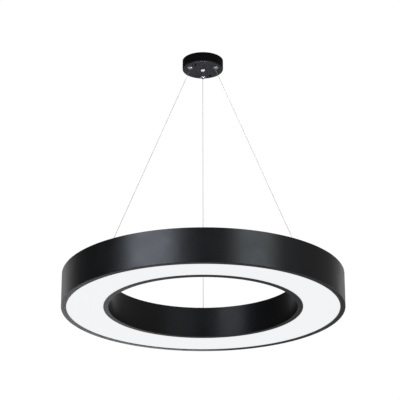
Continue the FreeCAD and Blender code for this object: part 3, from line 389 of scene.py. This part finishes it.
def route(name, points, fine):
    """The line through the route's points, in mm, as the points of its NURBS
    spline."""
    curve = bpy.data.curves.new(name, "CURVE")
    curve.dimensions = "3D"
    curve.resolution_u = fine
    spline = curve.splines.new("NURBS")
    spline.points.add(len(points) - 1)
    for point, spot in zip(spline.points, points):
        point.co = (*[c * MM for c in spot], 1.0)
    spline.order_u = 3
    spline.use_endpoint_u = True
    obj = bpy.data.objects.new(name, curve)
    scene.collection.objects.link(obj)
    bpy.context.view_layer.update()
    mesh = bpy.data.meshes.new_from_object(obj.evaluated_get(bpy.context.evaluated_depsgraph_get()))
    line = [v.co.copy() for v in mesh.vertices]
    bpy.data.meshes.remove(mesh)
    bpy.data.objects.remove(obj)
    bpy.data.curves.remove(curve)
    return line


def strand_into(bm, line, wire_radius, lay, sides=6):
    """A wire rope of six strands laid round one, along the points of a line."""
    strand = wire_radius / 3.0 * MM
    lay = lay * MM
    axis = (line[-1] - line[0]).normalized()
    side = axis.orthogonal().normalized()
    reach = [0.0]
    for before, here in zip(line, line[1:]):
        reach.append(reach[-1] + (here - before).length)

    def tube(radius_at, phase, thick):
        rings = []
        for i, spot in enumerate(line):
            forward = (line[min(i + 1, len(line) - 1)] - line[max(i - 1, 0)]).normalized()
            u0 = (side - forward * side.dot(forward)).normalized()
            v0 = forward.cross(u0)
            a = phase + 2 * math.pi * reach[i] / lay
            out = u0 * math.cos(a) + v0 * math.sin(a)
            around = forward.cross(out)
            along = (forward + around * (2 * math.pi * radius_at / lay)).normalized()
            other = along.cross(out).normalized()
            centre = spot + out * radius_at
            ring = []
            for k in range(sides):
                b = 2 * math.pi * k / sides
                ring.append(bm.verts.new(centre + out * (thick * math.cos(b)) + other * (thick * math.sin(b))))
            rings.append(ring)
        for low, high in zip(rings, rings[1:]):
            for k in range(sides):
                n = (k + 1) % sides
                bm.faces.new((low[k], low[n], high[n], high[k]))
        bm.faces.new(rings[0])
        bm.faces.new(list(reversed(rings[-1])))

    for n in range(6):
        tube(strand * 2.0, n * math.pi / 3, strand * 1.04)
    tube(0.0, 0.0, strand)


def cut_with(target, cutter):
    modifier = target.modifiers.new("cut", "BOOLEAN")
    modifier.operation = "DIFFERENCE"
    modifier.solver = "EXACT"
    modifier.object = cutter
    bpy.context.view_layer.update()
    graph = bpy.context.evaluated_depsgraph_get()
    mesh = bpy.data.meshes.new_from_object(target.evaluated_get(graph))
    target.modifiers.clear()
    old = target.data
    target.data = mesh
    bpy.data.meshes.remove(old)
    bpy.data.objects.remove(cutter)
    for polygon in mesh.polygons:
        polygon.use_smooth = True
    mesh.set_sharp_from_angle(angle=math.radians(32.0))
    return target


def loose(bm, name):
    """A mesh object used only as a cutting tool."""
    bmesh.ops.recalc_face_normals(bm, faces=bm.faces)
    mesh = bpy.data.meshes.new(name)
    bm.to_mesh(mesh)
    bm.free()
    obj = bpy.data.objects.new(name, mesh)
    scene.collection.objects.link(obj)
    return obj


def cross_into(bm, reach, half, low, high, x, y, spin):
    """A cross-shaped prism, the tool that cuts a screw's recess. It narrows
    towards its deep end."""
    corners = []
    for quarter in range(4):
        a = spin + quarter * math.pi / 2
        c, s = math.cos(a), math.sin(a)
        for u, v in ((half, -half), (reach, -half), (reach, half)):
            corners.append((u * c - v * s, u * s + v * c))
    rings = []
    for z, size in ((low, 1.0), (high, 0.8)):
        rings.append([bm.verts.new(((x + u * size) * MM, (y + v * size) * MM, z * MM)) for u, v in corners])
    count = len(corners)
    for k in range(count):
        n = (k + 1) % count
        bm.faces.new((rings[0][k], rings[0][n], rings[1][n], rings[1][k]))
    for ring in rings:
        bm.faces.new(ring)


# ------------------------------------------------------------------ ring casing
LIP = 0.55
bm = bmesh.new()
outline = soften([
    (R_OUT - RIM, BOTTOM, 0.3), (R_OUT, BOTTOM, LIP), (R_OUT, TOP, 0.45), (R_OUT - WALL, TOP, 0.45),
    (R_OUT - WALL, PLATE_LOW, 0.0), (R_OUT - WALL - 7.0, PLATE_LOW, 0.0), (R_OUT - WALL - 7.0, PLATE_LOW - WALL, 0.0),
    (R_OUT - WALL, PLATE_LOW - WALL, 0.0), (R_OUT - WALL, LEDGE, 0.0), (R_OUT - WALL - 4.0, LEDGE, 0.0),
    (R_OUT - WALL - 4.0, LEDGE - WALL, 0.0), (R_OUT - WALL, LEDGE - WALL, 0.0),
    (R_OUT - WALL, BOTTOM + WALL, 0.0), (R_OUT - RIM, BOTTOM + WALL, 0.3)])
turn_into(bm, outline, 360)
outer = finish_mesh(bm, "outer_shell_coated", coat_black, body="ring", stands_for=("outer_shell",))

bm = bmesh.new()
outline = soften([
    (R_IN + RIM, BOTTOM + LIFT, 0.3), (R_IN + RIM, BOTTOM + LIFT + WALL, 0.3), (R_IN + WALL, BOTTOM + LIFT + WALL, 0.0),
    (R_IN + WALL, LEDGE - WALL, 0.0), (R_IN + WALL + 4.0, LEDGE - WALL, 0.0), (R_IN + WALL + 4.0, LEDGE, 0.0),
    (R_IN + WALL, LEDGE, 0.0), (R_IN + WALL, PLATE_LOW - WALL, 0.0), (R_IN + WALL + 7.0, PLATE_LOW - WALL, 0.0),
    (R_IN + WALL + 7.0, PLATE_LOW, 0.0), (R_IN + WALL, PLATE_LOW, 0.0), (R_IN + WALL, INNER_TOP, 0.45),
    (R_IN, INNER_TOP, 0.45), (R_IN, BOTTOM + LIFT, LIP)])
turn_into(bm, outline, 288)
inner = finish_mesh(bm, "inner_shell_coated", coat_black, body="ring", stands_for=("inner_shell",))

bm = bmesh.new()
low = BOTTOM + WALL
outline = soften([(R_IN + WALL + 0.4, low + LIFT, 0.3), (R_IN + RIM, low + LIFT, 1.5), (R_OUT - RIM, low, 1.5),
                  (R_OUT - WALL - 0.4, low, 0.3), (R_OUT - WALL - 0.4, low + 2.0, 0.3), (R_OUT - RIM, low + 2.0, 1.5),
                  (R_IN + RIM, low + LIFT + 2.0, 1.5), (R_IN + WALL + 0.4, low + LIFT + 2.0, 0.3)])
turn_into(bm, outline, 360)
diffuser = finish_mesh(bm, "opal_diffuser", opal, body="ring", stands_for=("diffuser",))

# ------------------------------------------------------------------ canopy cup
bm = bmesh.new()
outline = soften([(0.0, UNDER, 0.0), (38.0, UNDER, 0.0), (45.2, UNDER, 4.5), (45.2, 0.0, 0.3), (44.0, 0.0, 0.3),
                  (44.0, UNDER + 1.2, 3.3), (0.0, UNDER + 1.2, 0.0)], steps=6)
turn_into(bm, outline, 144, closed=True)
cup = finish_mesh(bm, "canopy_cup_coated", canopy_coat_shaded, body="canopy", stands_for=("canopy_cup",))
tool = bmesh.new()
for _, angle in SIDES:
    x, y = on_circle(CIRCLE, angle)
    turn_into(tool, [(0, UNDER - 3), (4.1, UNDER - 3), (4.1, UNDER + 4), (0, UNDER + 4)], 40, x, y, closed=False)
for angle in (60.0, 240.0):
    x, y = on_circle(CIRCLE, angle)
    turn_into(tool, [(0, UNDER - 3), (2.2, UNDER - 3), (2.2, UNDER + 4), (0, UNDER + 4)], 32, x, y, closed=False)
# Hole for the small dark screw below, which stands in for a shadow spot beside the outlet bush: painted shadow.
x, y = on_circle(10.8, 285.6)
turn_into(tool, [(0, UNDER - 3), (1.25, UNDER - 3), (1.25, UNDER + 4), (0, UNDER + 4)], 24, x, y, closed=False)
turn_into(tool, [(0, UNDER - 3), (4.1, UNDER - 3), (4.1, UNDER + 4), (0, UNDER + 4)], 40, closed=False)
bmesh.ops.remove_doubles(tool, verts=tool.verts, dist=1e-8)
cut_with(cup, loose(tool, "cup_holes"))

# ------------------------------------------------------------------ grippers
MOUTH = UNDER - 3.4
BARREL_TOP = UNDER + 12.0
bm = bmesh.new()
for _, angle in SIDES:
    x, y = on_circle(CIRCLE, angle)
    threads = []
    z = UNDER + 3.2
    while z < BARREL_TOP - 0.6:
        threads += [(4.0, z), (3.72, z + 0.25), (4.0, z + 0.5)]
        z += 0.5
    outline = soften([(2.4, MOUTH, 0.25), (4.4, MOUTH, 0.5), (6.0, UNDER - 2.0, 0.5), (6.0, UNDER, 0.2),
                      (4.0, UNDER, 0.0)], steps=4)
    outline += [(4.0, UNDER + 3.0)] + threads
    outline += [(3.7, BARREL_TOP), (0.95, BARREL_TOP), (0.95, BARREL_TOP - 2.4), (3.1, BARREL_TOP - 2.4),
                (3.1, MOUTH + 1.4), (2.4, MOUTH + 1.4)]
    turn_into(bm, outline, 64, x, y)
barrels = finish_mesh(bm, "gripper_barrels_turned", nickel, body="canopy", stands_for=("gripper_barrels",))

bm = bmesh.new()
for _, angle in SIDES:
    x, y = on_circle(CIRCLE, angle)
    nut_into(bm, 6.4, 4.0, UNDER + 1.2, UNDER + 3.8, x, y, angle)
finish_mesh(bm, "gripper_locknuts_hex", nickel, body="canopy", stands_for=("gripper_locknuts",))

SHOULDER = MOUTH + 1.5
PLUNGER_LOW = MOUTH - 2.2
for side, angle in SIDES:
    x, y = on_circle(CIRCLE, angle)
    bm = bmesh.new()
    outline = soften([(0.95, PLUNGER_LOW, 0.2), (2.34, PLUNGER_LOW, 0.5), (2.34, SHOULDER, 0.1), (3.04, SHOULDER, 0.1),
                      (3.04, SHOULDER + 5.0, 0.3), (0.95, SHOULDER + 5.0, 0.2)])
    turn_into(bm, outline, 48, x, y)
    # The plunger takes the darker nickel, a painted shade for the gripper's dark centre.
    finish_mesh(bm, "plunger_%s_turned" % side, plunger_shade_metal, body="plunger_" + side,
                stands_for=("plunger_" + side,))

    # coil spring between the plunger and the barrel's cap
    low, high = SHOULDER + 5.05, BARREL_TOP - 2.45
    bm = bmesh.new()
    turns, per_turn, sides, thick = 5.5, 20, 8, 0.32
    rings = []
    total = int(turns * per_turn)
    for i in range(total + 1):
        t = i / total
        dead = 0.11
        if t < dead:
            rise = t / dead * 0.04
        elif t > 1 - dead:
            rise = 1 - (1 - t) / dead * 0.04
        else:
            rise = 0.04 + (t - dead) / (1 - 2 * dead) * 0.92
        a = 2 * math.pi * turns * t
        z = low + thick + rise * (high - low - 2 * thick)
        out = Vector((math.cos(a), math.sin(a), 0))
        centre = Vector((x, y, z)) + out * 2.45
        ring = []
        for k in range(sides):
            b = 2 * math.pi * k / sides
            ring.append(bm.verts.new((centre + out * (thick * math.cos(b)) + Vector((0, 0, thick * math.sin(b)))) * MM))
        rings.append(ring)
    for r0, r1 in zip(rings, rings[1:]):
        for k in range(sides):
            n = (k + 1) % sides
            bm.faces.new((r0[k], r0[n], r1[n], r1[k]))
    bm.faces.new(rings[0])
    bm.faces.new(list(reversed(rings[-1])))
    coil = finish_mesh(bm, "plunger_spring_%s_coil" % side, spring_steel, body="canopy",
                       stands_for=("plunger_spring_" + side,))
    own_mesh(coil)

bm = bmesh.new()
for _, angle in SIDES:
    x, y = on_circle(CIRCLE, angle)
    for step in (0.0, 120.0, 240.0):
        dx, dy = on_circle(0.5 + 0.55 + 0.02, angle + 30 + step)
        bmesh.ops.create_uvsphere(bm, u_segments=24, v_segments=16, radius=0.55 * MM,
                                  matrix=Matrix.Translation(((x + dx) * MM, (y + dy) * MM, (BARREL_TOP - 2.4 - 0.6) * MM)))
finish_mesh(bm, "gripper_balls_polished", polished, body="canopy", stands_for=("gripper_balls",))

# ------------------------------------------------------------------ wires
for side, angle in SIDES:
    x0, y0 = on_circle(CIRCLE, angle)
    x1, y1 = on_circle(ANCHOR, angle)
    a = Vector((x0, y0, WIRE_HIGH))
    b = Vector((x1, y1, ANCHOR_TOP + 0.35))
    line = route("wire_route_" + side, [a, (a + b) / 2, b], 560)
    bm = bmesh.new()
    strand_into(bm, line, 0.5, 8.0)
    wire = finish_mesh(bm, "cable_%s_laid" % side, wire_steel, sharp=60.0, body="canopy",
                       stands_for=("cable_" + side,))
    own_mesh(wire)

bm = bmesh.new()
for _, angle in SIDES:
    x, y = on_circle(CIRCLE, angle)
    top, low = Vector((x, y, -5.0)), Vector((x, y, WIRE_HIGH - 0.12))
    strand_into(bm, route("tail_route", [top, (top + low) / 2, low], 30), 0.5, 8.0)
finish_mesh(bm, "cable_tails_laid", wire_steel, sharp=60.0, body="canopy", stands_for=("cable_tails",))

bm = bmesh.new()
for _, angle in SIDES:
    x, y = on_circle(CIRCLE, angle)
    turn_into(bm, soften([(0.5, -8.5, 0.1), (1.3, -8.5, 0.3), (1.5, -7.9, 0.1), (1.15, -7.3, 0.2), (1.5, -6.7, 0.1),
                          (1.5, -5.4, 0.2), (1.2, -5.0, 0.1), (0.5, -5.0, 0.1)], steps=3), 24, x, y)
finish_mesh(bm, "cable_stops_crimped", bare_aluminium, body="canopy", stands_for=("cable_stops",))

# ------------------------------------------------------------------ cord outlet
bm = bmesh.new()
face = UNDER - 0.8
outline = soften([(0.0, face + 0.4, 0.0), (2.6, face + 0.4, 0.25), (3.4, face, 0.3), (4.4, face, 0.3), (4.7, UNDER, 0.1),
                  (4.0, UNDER, 0.0), (4.0, UNDER + 6.0, 0.3), (2.6, UNDER + 6.0, 0.2), (2.6, face + 1.2, 0.0), (0.0, face + 1.2, 0.0)])
turn_into(bm, outline, 64)
finish_mesh(bm, "outlet_bush_moulded", nylon_white, body="canopy", stands_for=("outlet_bush",))
bm = bmesh.new()
nut_into(bm, 6.3, 4.0, UNDER + 1.2, UNDER + 3.7, 0, 0, 0)
finish_mesh(bm, "outlet_nut_hex", nylon_white, body="canopy", stands_for=("outlet_nut",))


# ------------------------------------------------------------------ screws
def screw_set(name, stands_for, mat, body, spots, head_z, head_r, head_h, shank, length, up):
    """Pan head screws with a cross recess, each turned by its own amount."""
    sign = 1.0 if up else -1.0
    bm = bmesh.new()
    tool = bmesh.new()
    for n, (x, y) in enumerate(spots):
        outline = [(0.0, head_z + head_h * sign)]
        for k in range(1, 7):
            a = math.pi / 2 * k / 6
            outline.append((head_r * math.sin(a), head_z + head_h * sign * (0.25 + 0.75 * math.cos(a))))
        outline += [(head_r, head_z), (shank, head_z)]
        z = 0.9
        while z < length - 0.9:
            outline += [(shank, head_z - z * sign), (shank * 0.82, head_z - (z + 0.25) * sign)]
            z += 0.5
        outline += [(shank * 0.8, head_z - (length - 0.3) * sign), (0.0, head_z - length * sign)]
        turn_into(bm, outline, 24, x, y, closed=False)
        spin = math.radians(37.0 * n + 11.0)
        cross_into(tool, head_r * 0.56, head_r * 0.12, head_z + (head_h + 0.3) * sign, head_z + head_h * 0.35 * sign, x, y, spin)
    obj = finish_mesh(bm, name, mat, body=body, stands_for=stands_for)
    return cut_with(obj, loose(tool, name + "_recess"))


screw_set("canopy_screws_cross", ("canopy_screws",), screw_black, "canopy",
          [on_circle(CIRCLE, 60.0), on_circle(CIRCLE, 240.0)], UNDER, 2.9, 1.6, 1.6, 11.0, False)
# A small black screw beside the outlet bush, put where there is a shadow spot: painted shadow.
screw_set("canopy_small_screw_cross", (), screw_black, "canopy",
          [on_circle(10.8, 285.6)], UNDER, 2.5, 0.9, 1.2, 4.0, False)
spots = []
for n in range(12):
    spots.append(on_circle(R_OUT - WALL - 3.5, 90.0 + 15.0 + 30.0 * n))
    spots.append(on_circle(R_IN + WALL + 3.5, 90.0 + 15.0 + 30.0 * n))
screw_set("top_screws_cross", ("top_screws",), screw_black, "ring", spots, PLATE_TOP, 2.8, 1.3, 1.6, 5.0, True)

# ------------------------------------------------------------------ anchors and gland
bm = bmesh.new()
for _, angle in SIDES:
    x, y = on_circle(ANCHOR, angle)
    outline = soften([(0.0, PLATE_TOP - 8.0, 0.0), (3.0, PLATE_TOP - 8.0, 0.4), (3.0, PLATE_TOP, 0.0), (6.5, PLATE_TOP, 0.1),
                      (6.5, PLATE_TOP + 1.8, 0.4), (3.6, PLATE_TOP + 3.0, 0.5), (3.6, ANCHOR_TOP - 1.0, 0.5),
                      (2.5, ANCHOR_TOP, 0.3), (1.6, ANCHOR_TOP, 0.25), (0.95, ANCHOR_TOP - 2.5, 0.0), (0.0, ANCHOR_TOP - 2.5, 0.0)])
    turn_into(bm, outline, 56, x, y)
finish_mesh(bm, "wire_anchors_turned", nickel, body="ring", stands_for=("wire_anchors",))
bm = bmesh.new()
for _, angle in SIDES:
    x, y = on_circle(ANCHOR, angle)
    nut_into(bm, 5.8, 3.0, PLATE_LOW - 3.0, PLATE_LOW, x, y, angle)
finish_mesh(bm, "anchor_nuts_hex", nickel, body="ring", stands_for=("anchor_nuts",))

bm = bmesh.new()
x, y = on_circle(ANCHOR, GLAND)
nut_into(bm, 7.0, 2.6, PLATE_TOP, PLATE_TOP + 3.6, x, y, GLAND, segments=36)
outline = soften([(2.6, PLATE_TOP - 8.0, 0.2), (5.0, PLATE_TOP - 8.0, 0.5), (5.0, PLATE_TOP + 0.2, 0.0), (5.7, PLATE_TOP + 3.5, 0.1),
                  (5.6, PLATE_TOP + 5.4, 0.6), (4.2, PLATE_TOP + 8.0, 0.9), (2.6, PLATE_TOP + 8.0, 0.4)])
turn_into(bm, outline, 48, x, y)
finish_mesh(bm, "inlet_gland_moulded", nylon_white, body="ring", stands_for=("inlet_gland",))
bm = bmesh.new()
nut_into(bm, 8.0, 5.0, PLATE_LOW - 3.0, PLATE_LOW, x, y, GLAND)
finish_mesh(bm, "inlet_nut_hex", nylon_white, body="ring", stands_for=("inlet_nut",))

# ------------------------------------------------------------------ carried-over pieces
FINISH = {
    "ceiling_plate": zinc, "plate_pillars": zinc, "terminal_block": nylon_natural, "terminal_screws": zinc,
    "earth_screw": brass, "top_plate": coat_top, "gear_tray": coat_white, "led_boards": mask_white,
    "led_chips": led_lens, "board_screws": zinc, "diffuser_clips": spring_steel, "splice_plates": bare_aluminium,
    "driver_case": bare_aluminium, "driver_lid": bare_aluminium, "driver_core": potting, "driver_screws": zinc,
    "ring_terminal_block": nylon_natural, "ring_terminal_screws": zinc, "driver_leads": sleeve, "board_leads": sleeve,
}
for name, mat in FINISH.items():
    obj = nodes[name]
    if not obj.material_slots:
        obj.data.materials.append(mat)
    for index in range(len(obj.material_slots)):
        obj.material_slots[index].material = mat

# ------------------------------------------------------------------ stage and light
FLOOR = -5.4
bm = bmesh.new()
bmesh.ops.create_grid(bm, x_segments=2, y_segments=2, size=40.0, matrix=Matrix.Translation((0, 0, FLOOR)))
mesh = bpy.data.meshes.new("floor")
bm.to_mesh(mesh)
bm.free()
floor = bpy.data.objects.new("floor", mesh)
scene.collection.objects.link(floor)
floor_mat, tree, shader = new_material("pale_floor", (0.80, 0.80, 0.80), 0.0, 0.85, 0.2)
tree.links.new(ramp(tree, noise(tree, 1.5, 3.0, 0.5), [(0.3, (0.79, 0.79, 0.79)), (0.7, (0.81, 0.81, 0.81))]),
               shader.inputs["Base Color"])
mesh.materials.append(floor_mat)
floor.visible_diffuse = False
floor.visible_glossy = False

world = bpy.data.worlds.new("studio")
scene.world = world
world.use_nodes = True
tree = world.node_tree
tree.nodes.clear()
output = tree.nodes.new("ShaderNodeOutputWorld")
seen = tree.nodes.new("ShaderNodeBackground")
seen.inputs["Color"].default_value = (1.0, 1.0, 1.0, 1.0)
seen.inputs["Strength"].default_value = 1.02
room = tree.nodes.new("ShaderNodeBackground")
direction = tree.nodes.new("ShaderNodeTexCoord")
split = tree.nodes.new("ShaderNodeSeparateXYZ")
tree.links.new(direction.outputs["Generated"], split.inputs[0])
height = spread(tree, split.outputs["Z"], 0.0, 1.0, -1.0, 1.0)
tone = ramp(tree, height, [(0.0, (0.24, 0.24, 0.24)), (0.4, (0.24, 0.24, 0.245)), (0.52, (0.28, 0.28, 0.285)), (0.62, (0.20, 0.20, 0.205)),
                           (0.69, (0.11, 0.11, 0.11)), (1.0, (0.13, 0.13, 0.13))])
tree.links.new(tone, room.inputs["Color"])
both = tree.nodes.new("ShaderNodeMath")
both.operation = "MULTIPLY"
tree.links.new(spread(tree, split.outputs["X"], 0.3, 1.0, -1.0, -0.45), both.inputs[0])
tree.links.new(spread(tree, split.outputs["X"], 1.0, 1.6, 0.35, 1.0), both.inputs[1])
tree.links.new(both.outputs[0], room.inputs["Strength"])
path = tree.nodes.new("ShaderNodeLightPath")
choose = tree.nodes.new("ShaderNodeMixShader")
tree.links.new(path.outputs["Is Camera Ray"], choose.inputs[0])
tree.links.new(room.outputs[0], choose.inputs[1])
tree.links.new(seen.outputs[0], choose.inputs[2])
tree.links.new(choose.outputs[0], output.inputs["Surface"])


def area_light(name, spot, aim, width, height, power, color=(1.0, 1.0, 1.0)):
    data = bpy.data.lights.new(name, "AREA")
    data.shape = "RECTANGLE"
    data.size = width
    data.size_y = height
    data.energy = power
    data.color = color
    obj = bpy.data.objects.new(name, data)
    scene.collection.objects.link(obj)
    obj.location = spot
    way = Vector(aim) - Vector(spot)
    obj.rotation_euler = way.to_track_quat("-Z", "Y").to_euler()
    obj.visible_camera = False
    return obj


def lit_only(light, objects):
    """The light falls only on these objects."""
    group = bpy.data.collections.new(light.name + "_on")
    for obj in objects:
        group.objects.link(obj)
    light.light_linking.receiver_collection = group


def lit_all_but(light, objects):
    """The light falls on everything except these objects."""
    lit_only(light, objects)
    for item in light.light_linking.receiver_collection.collection_objects:
        item.light_linking.link_state = "EXCLUDE"


MID = -0.55
BRIGHT = [o for o in scene.objects if o.name.startswith(("cable_", "gripper_barrels", "plunger_", "outlet_bush", "wire_anchors"))
          and o.type == "MESH" and not o.name.startswith("plunger_spring")]
COOL = (0.81, 0.88, 1.0)
# Black screws kept out of the canopy spot; the small one is the painted shadow beside the bush.
DARK = [scene.objects["canopy_screws_cross"], scene.objects["canopy_small_screw_cross"]]
for label, left, left_wide, left_power, right, right_wide, right_power in (
        ("outer", (-1.60, -1.92, 0.27), 1.62, 31.9, (1.583, -1.935, 0.27), 1.3, 13.8),
        ("inner", (-1.50, -2.00, 0.27), 1.46, 8.7, (1.207, -2.18, 0.27), 1.8, 2.2)):
    pair = (area_light("strip_left_" + label, left, (0, 0, MID), left_wide, 1.0, left_power, COOL),
            area_light("strip_right_" + label, right, (0, 0, MID), right_wide, 1.0, right_power, (0.89, 0.965, 1.0)))
    for light in pair:
        if label == "outer":
            lit_all_but(light, [inner, cup] + BRIGHT + DARK)
        else:
            lit_only(light, [inner])
for name, spot, width, height, power, on in (("back_left", (-1.5, 2.6, 0.48), 1.5, 1.0, 1.75, [outer]),
                                             ("back_left_inner", (-1.5, 2.6, 0.48), 1.5, 1.0, 0.9, [inner]),
                                             ("side_left", (-2.12, 2.12, 0.48), 1.3, 1.0, 1.1, [outer]),
                                             ("side_right", (2.12, 2.12, 0.48), 1.3, 1.0, 0.4, [outer]),
                                             ("back_right", (1.5, 2.6, 0.48), 1.5, 1.0, 1.85, [outer]),
                                             ("back_right_inner", (1.5, 2.6, 0.48), 1.5, 1.0, 1.75, [inner]),
                                             ("low_left", (-0.9, 2.2, -1.35), 0.8, 0.8, 2.3, [outer, inner]),
                                             ("low_left_inner", (-0.45, 2.2, -1.3), 0.5, 0.5, 0.55, [inner]),
                                             ("low_far", (-0.2, 0.62, -0.68), 0.5, 0.04, 0.17, [outer])):
    lit_only(area_light(name, spot, (0, 0, MID), width, height, power), on)
lit_only(area_light("strip_soft_left", (-0.645, -2.405, 0.27), (0, 0, MID), 0.9, 1.0, 0.8, COOL), [outer])
lit_only(area_light("strip_soft_right", (2.37, -0.77, 0.27), (0, 0, MID), 0.45, 1.0, 0.3, COOL), [outer])
for name, spot, power in (("under_left", (-1.60, -1.92, -1.75), 4.0), ("under_right", (1.583, -1.935, -1.75), 2.0),
                          ("under_back_left", (-1.92, 1.61, -1.35), 10.0), ("under_back_right", (1.92, 1.61, -1.35), 10.0)):
    lit_only(area_light(name, spot, (0, 0, MID), 1.4, 1.0, power, COOL), [outer])
lit_all_but(area_light("overhead", (0.0, 0.4, 2.4), (0, 0, -1), 3.0, 3.0, 170.0), [inner, outer])
lit_only(area_light("overhead_inner", (0.0, -1.1, 1.6), (0, 0, MID), 2.4, 0.5, 24.0), [inner])

sun_data = bpy.data.lights.new("floor_light", "SUN")
sun_data.energy = 2.3
sun_data.angle = math.radians(60.0)
sun = bpy.data.objects.new("floor_light", sun_data)
scene.collection.objects.link(sun)
sun.location = (0.0, 0.0, 3.0)
lit_only(sun, [floor])

for name, spot, power in (("small_left", (-2.2, -1.1, -0.9), 18.0), ("small_right", (2.2, -1.1, -0.9), 32.0),
                          ("small_front", (0.0, -2.4, -2.0), 10.0)):
    lit_only(area_light(name, spot, (0, 0, -0.25), 0.7, 0.7, power),
             [o for o in BRIGHT if not o.name.startswith("cable_left") and (name == "small_left" or not o.name.startswith("cable_rear"))])

FITTINGS = [o for o in BRIGHT if o.name.startswith(("outlet_bush", "gripper_barrels", "plunger_"))]
for name, power in (("canopy_spot", 2300.0), ("fittings_spot", 230.0)):
    spot_data = bpy.data.lights.new(name, "SPOT")
    spot_data.energy = power
    spot_data.color = (0.90, 0.92, 1.0)
    spot_data.spot_size = math.radians(5.0)
    spot_data.spot_blend = 0.6
    spot_data.shadow_soft_size = 0.12
    spot = bpy.data.objects.new(name, spot_data)
    scene.collection.objects.link(spot)
    spot.location = (0.0, -0.13, -1.95)
    spot.rotation_euler = (Vector((0, 0, -0.02)) - Vector(spot.location)).to_track_quat("-Z", "Y").to_euler()
    if name == "canopy_spot":
        lit_all_but(spot, BRIGHT + DARK)
    else:
        lit_only(spot, FITTINGS)

bpy.context.view_layer.update()
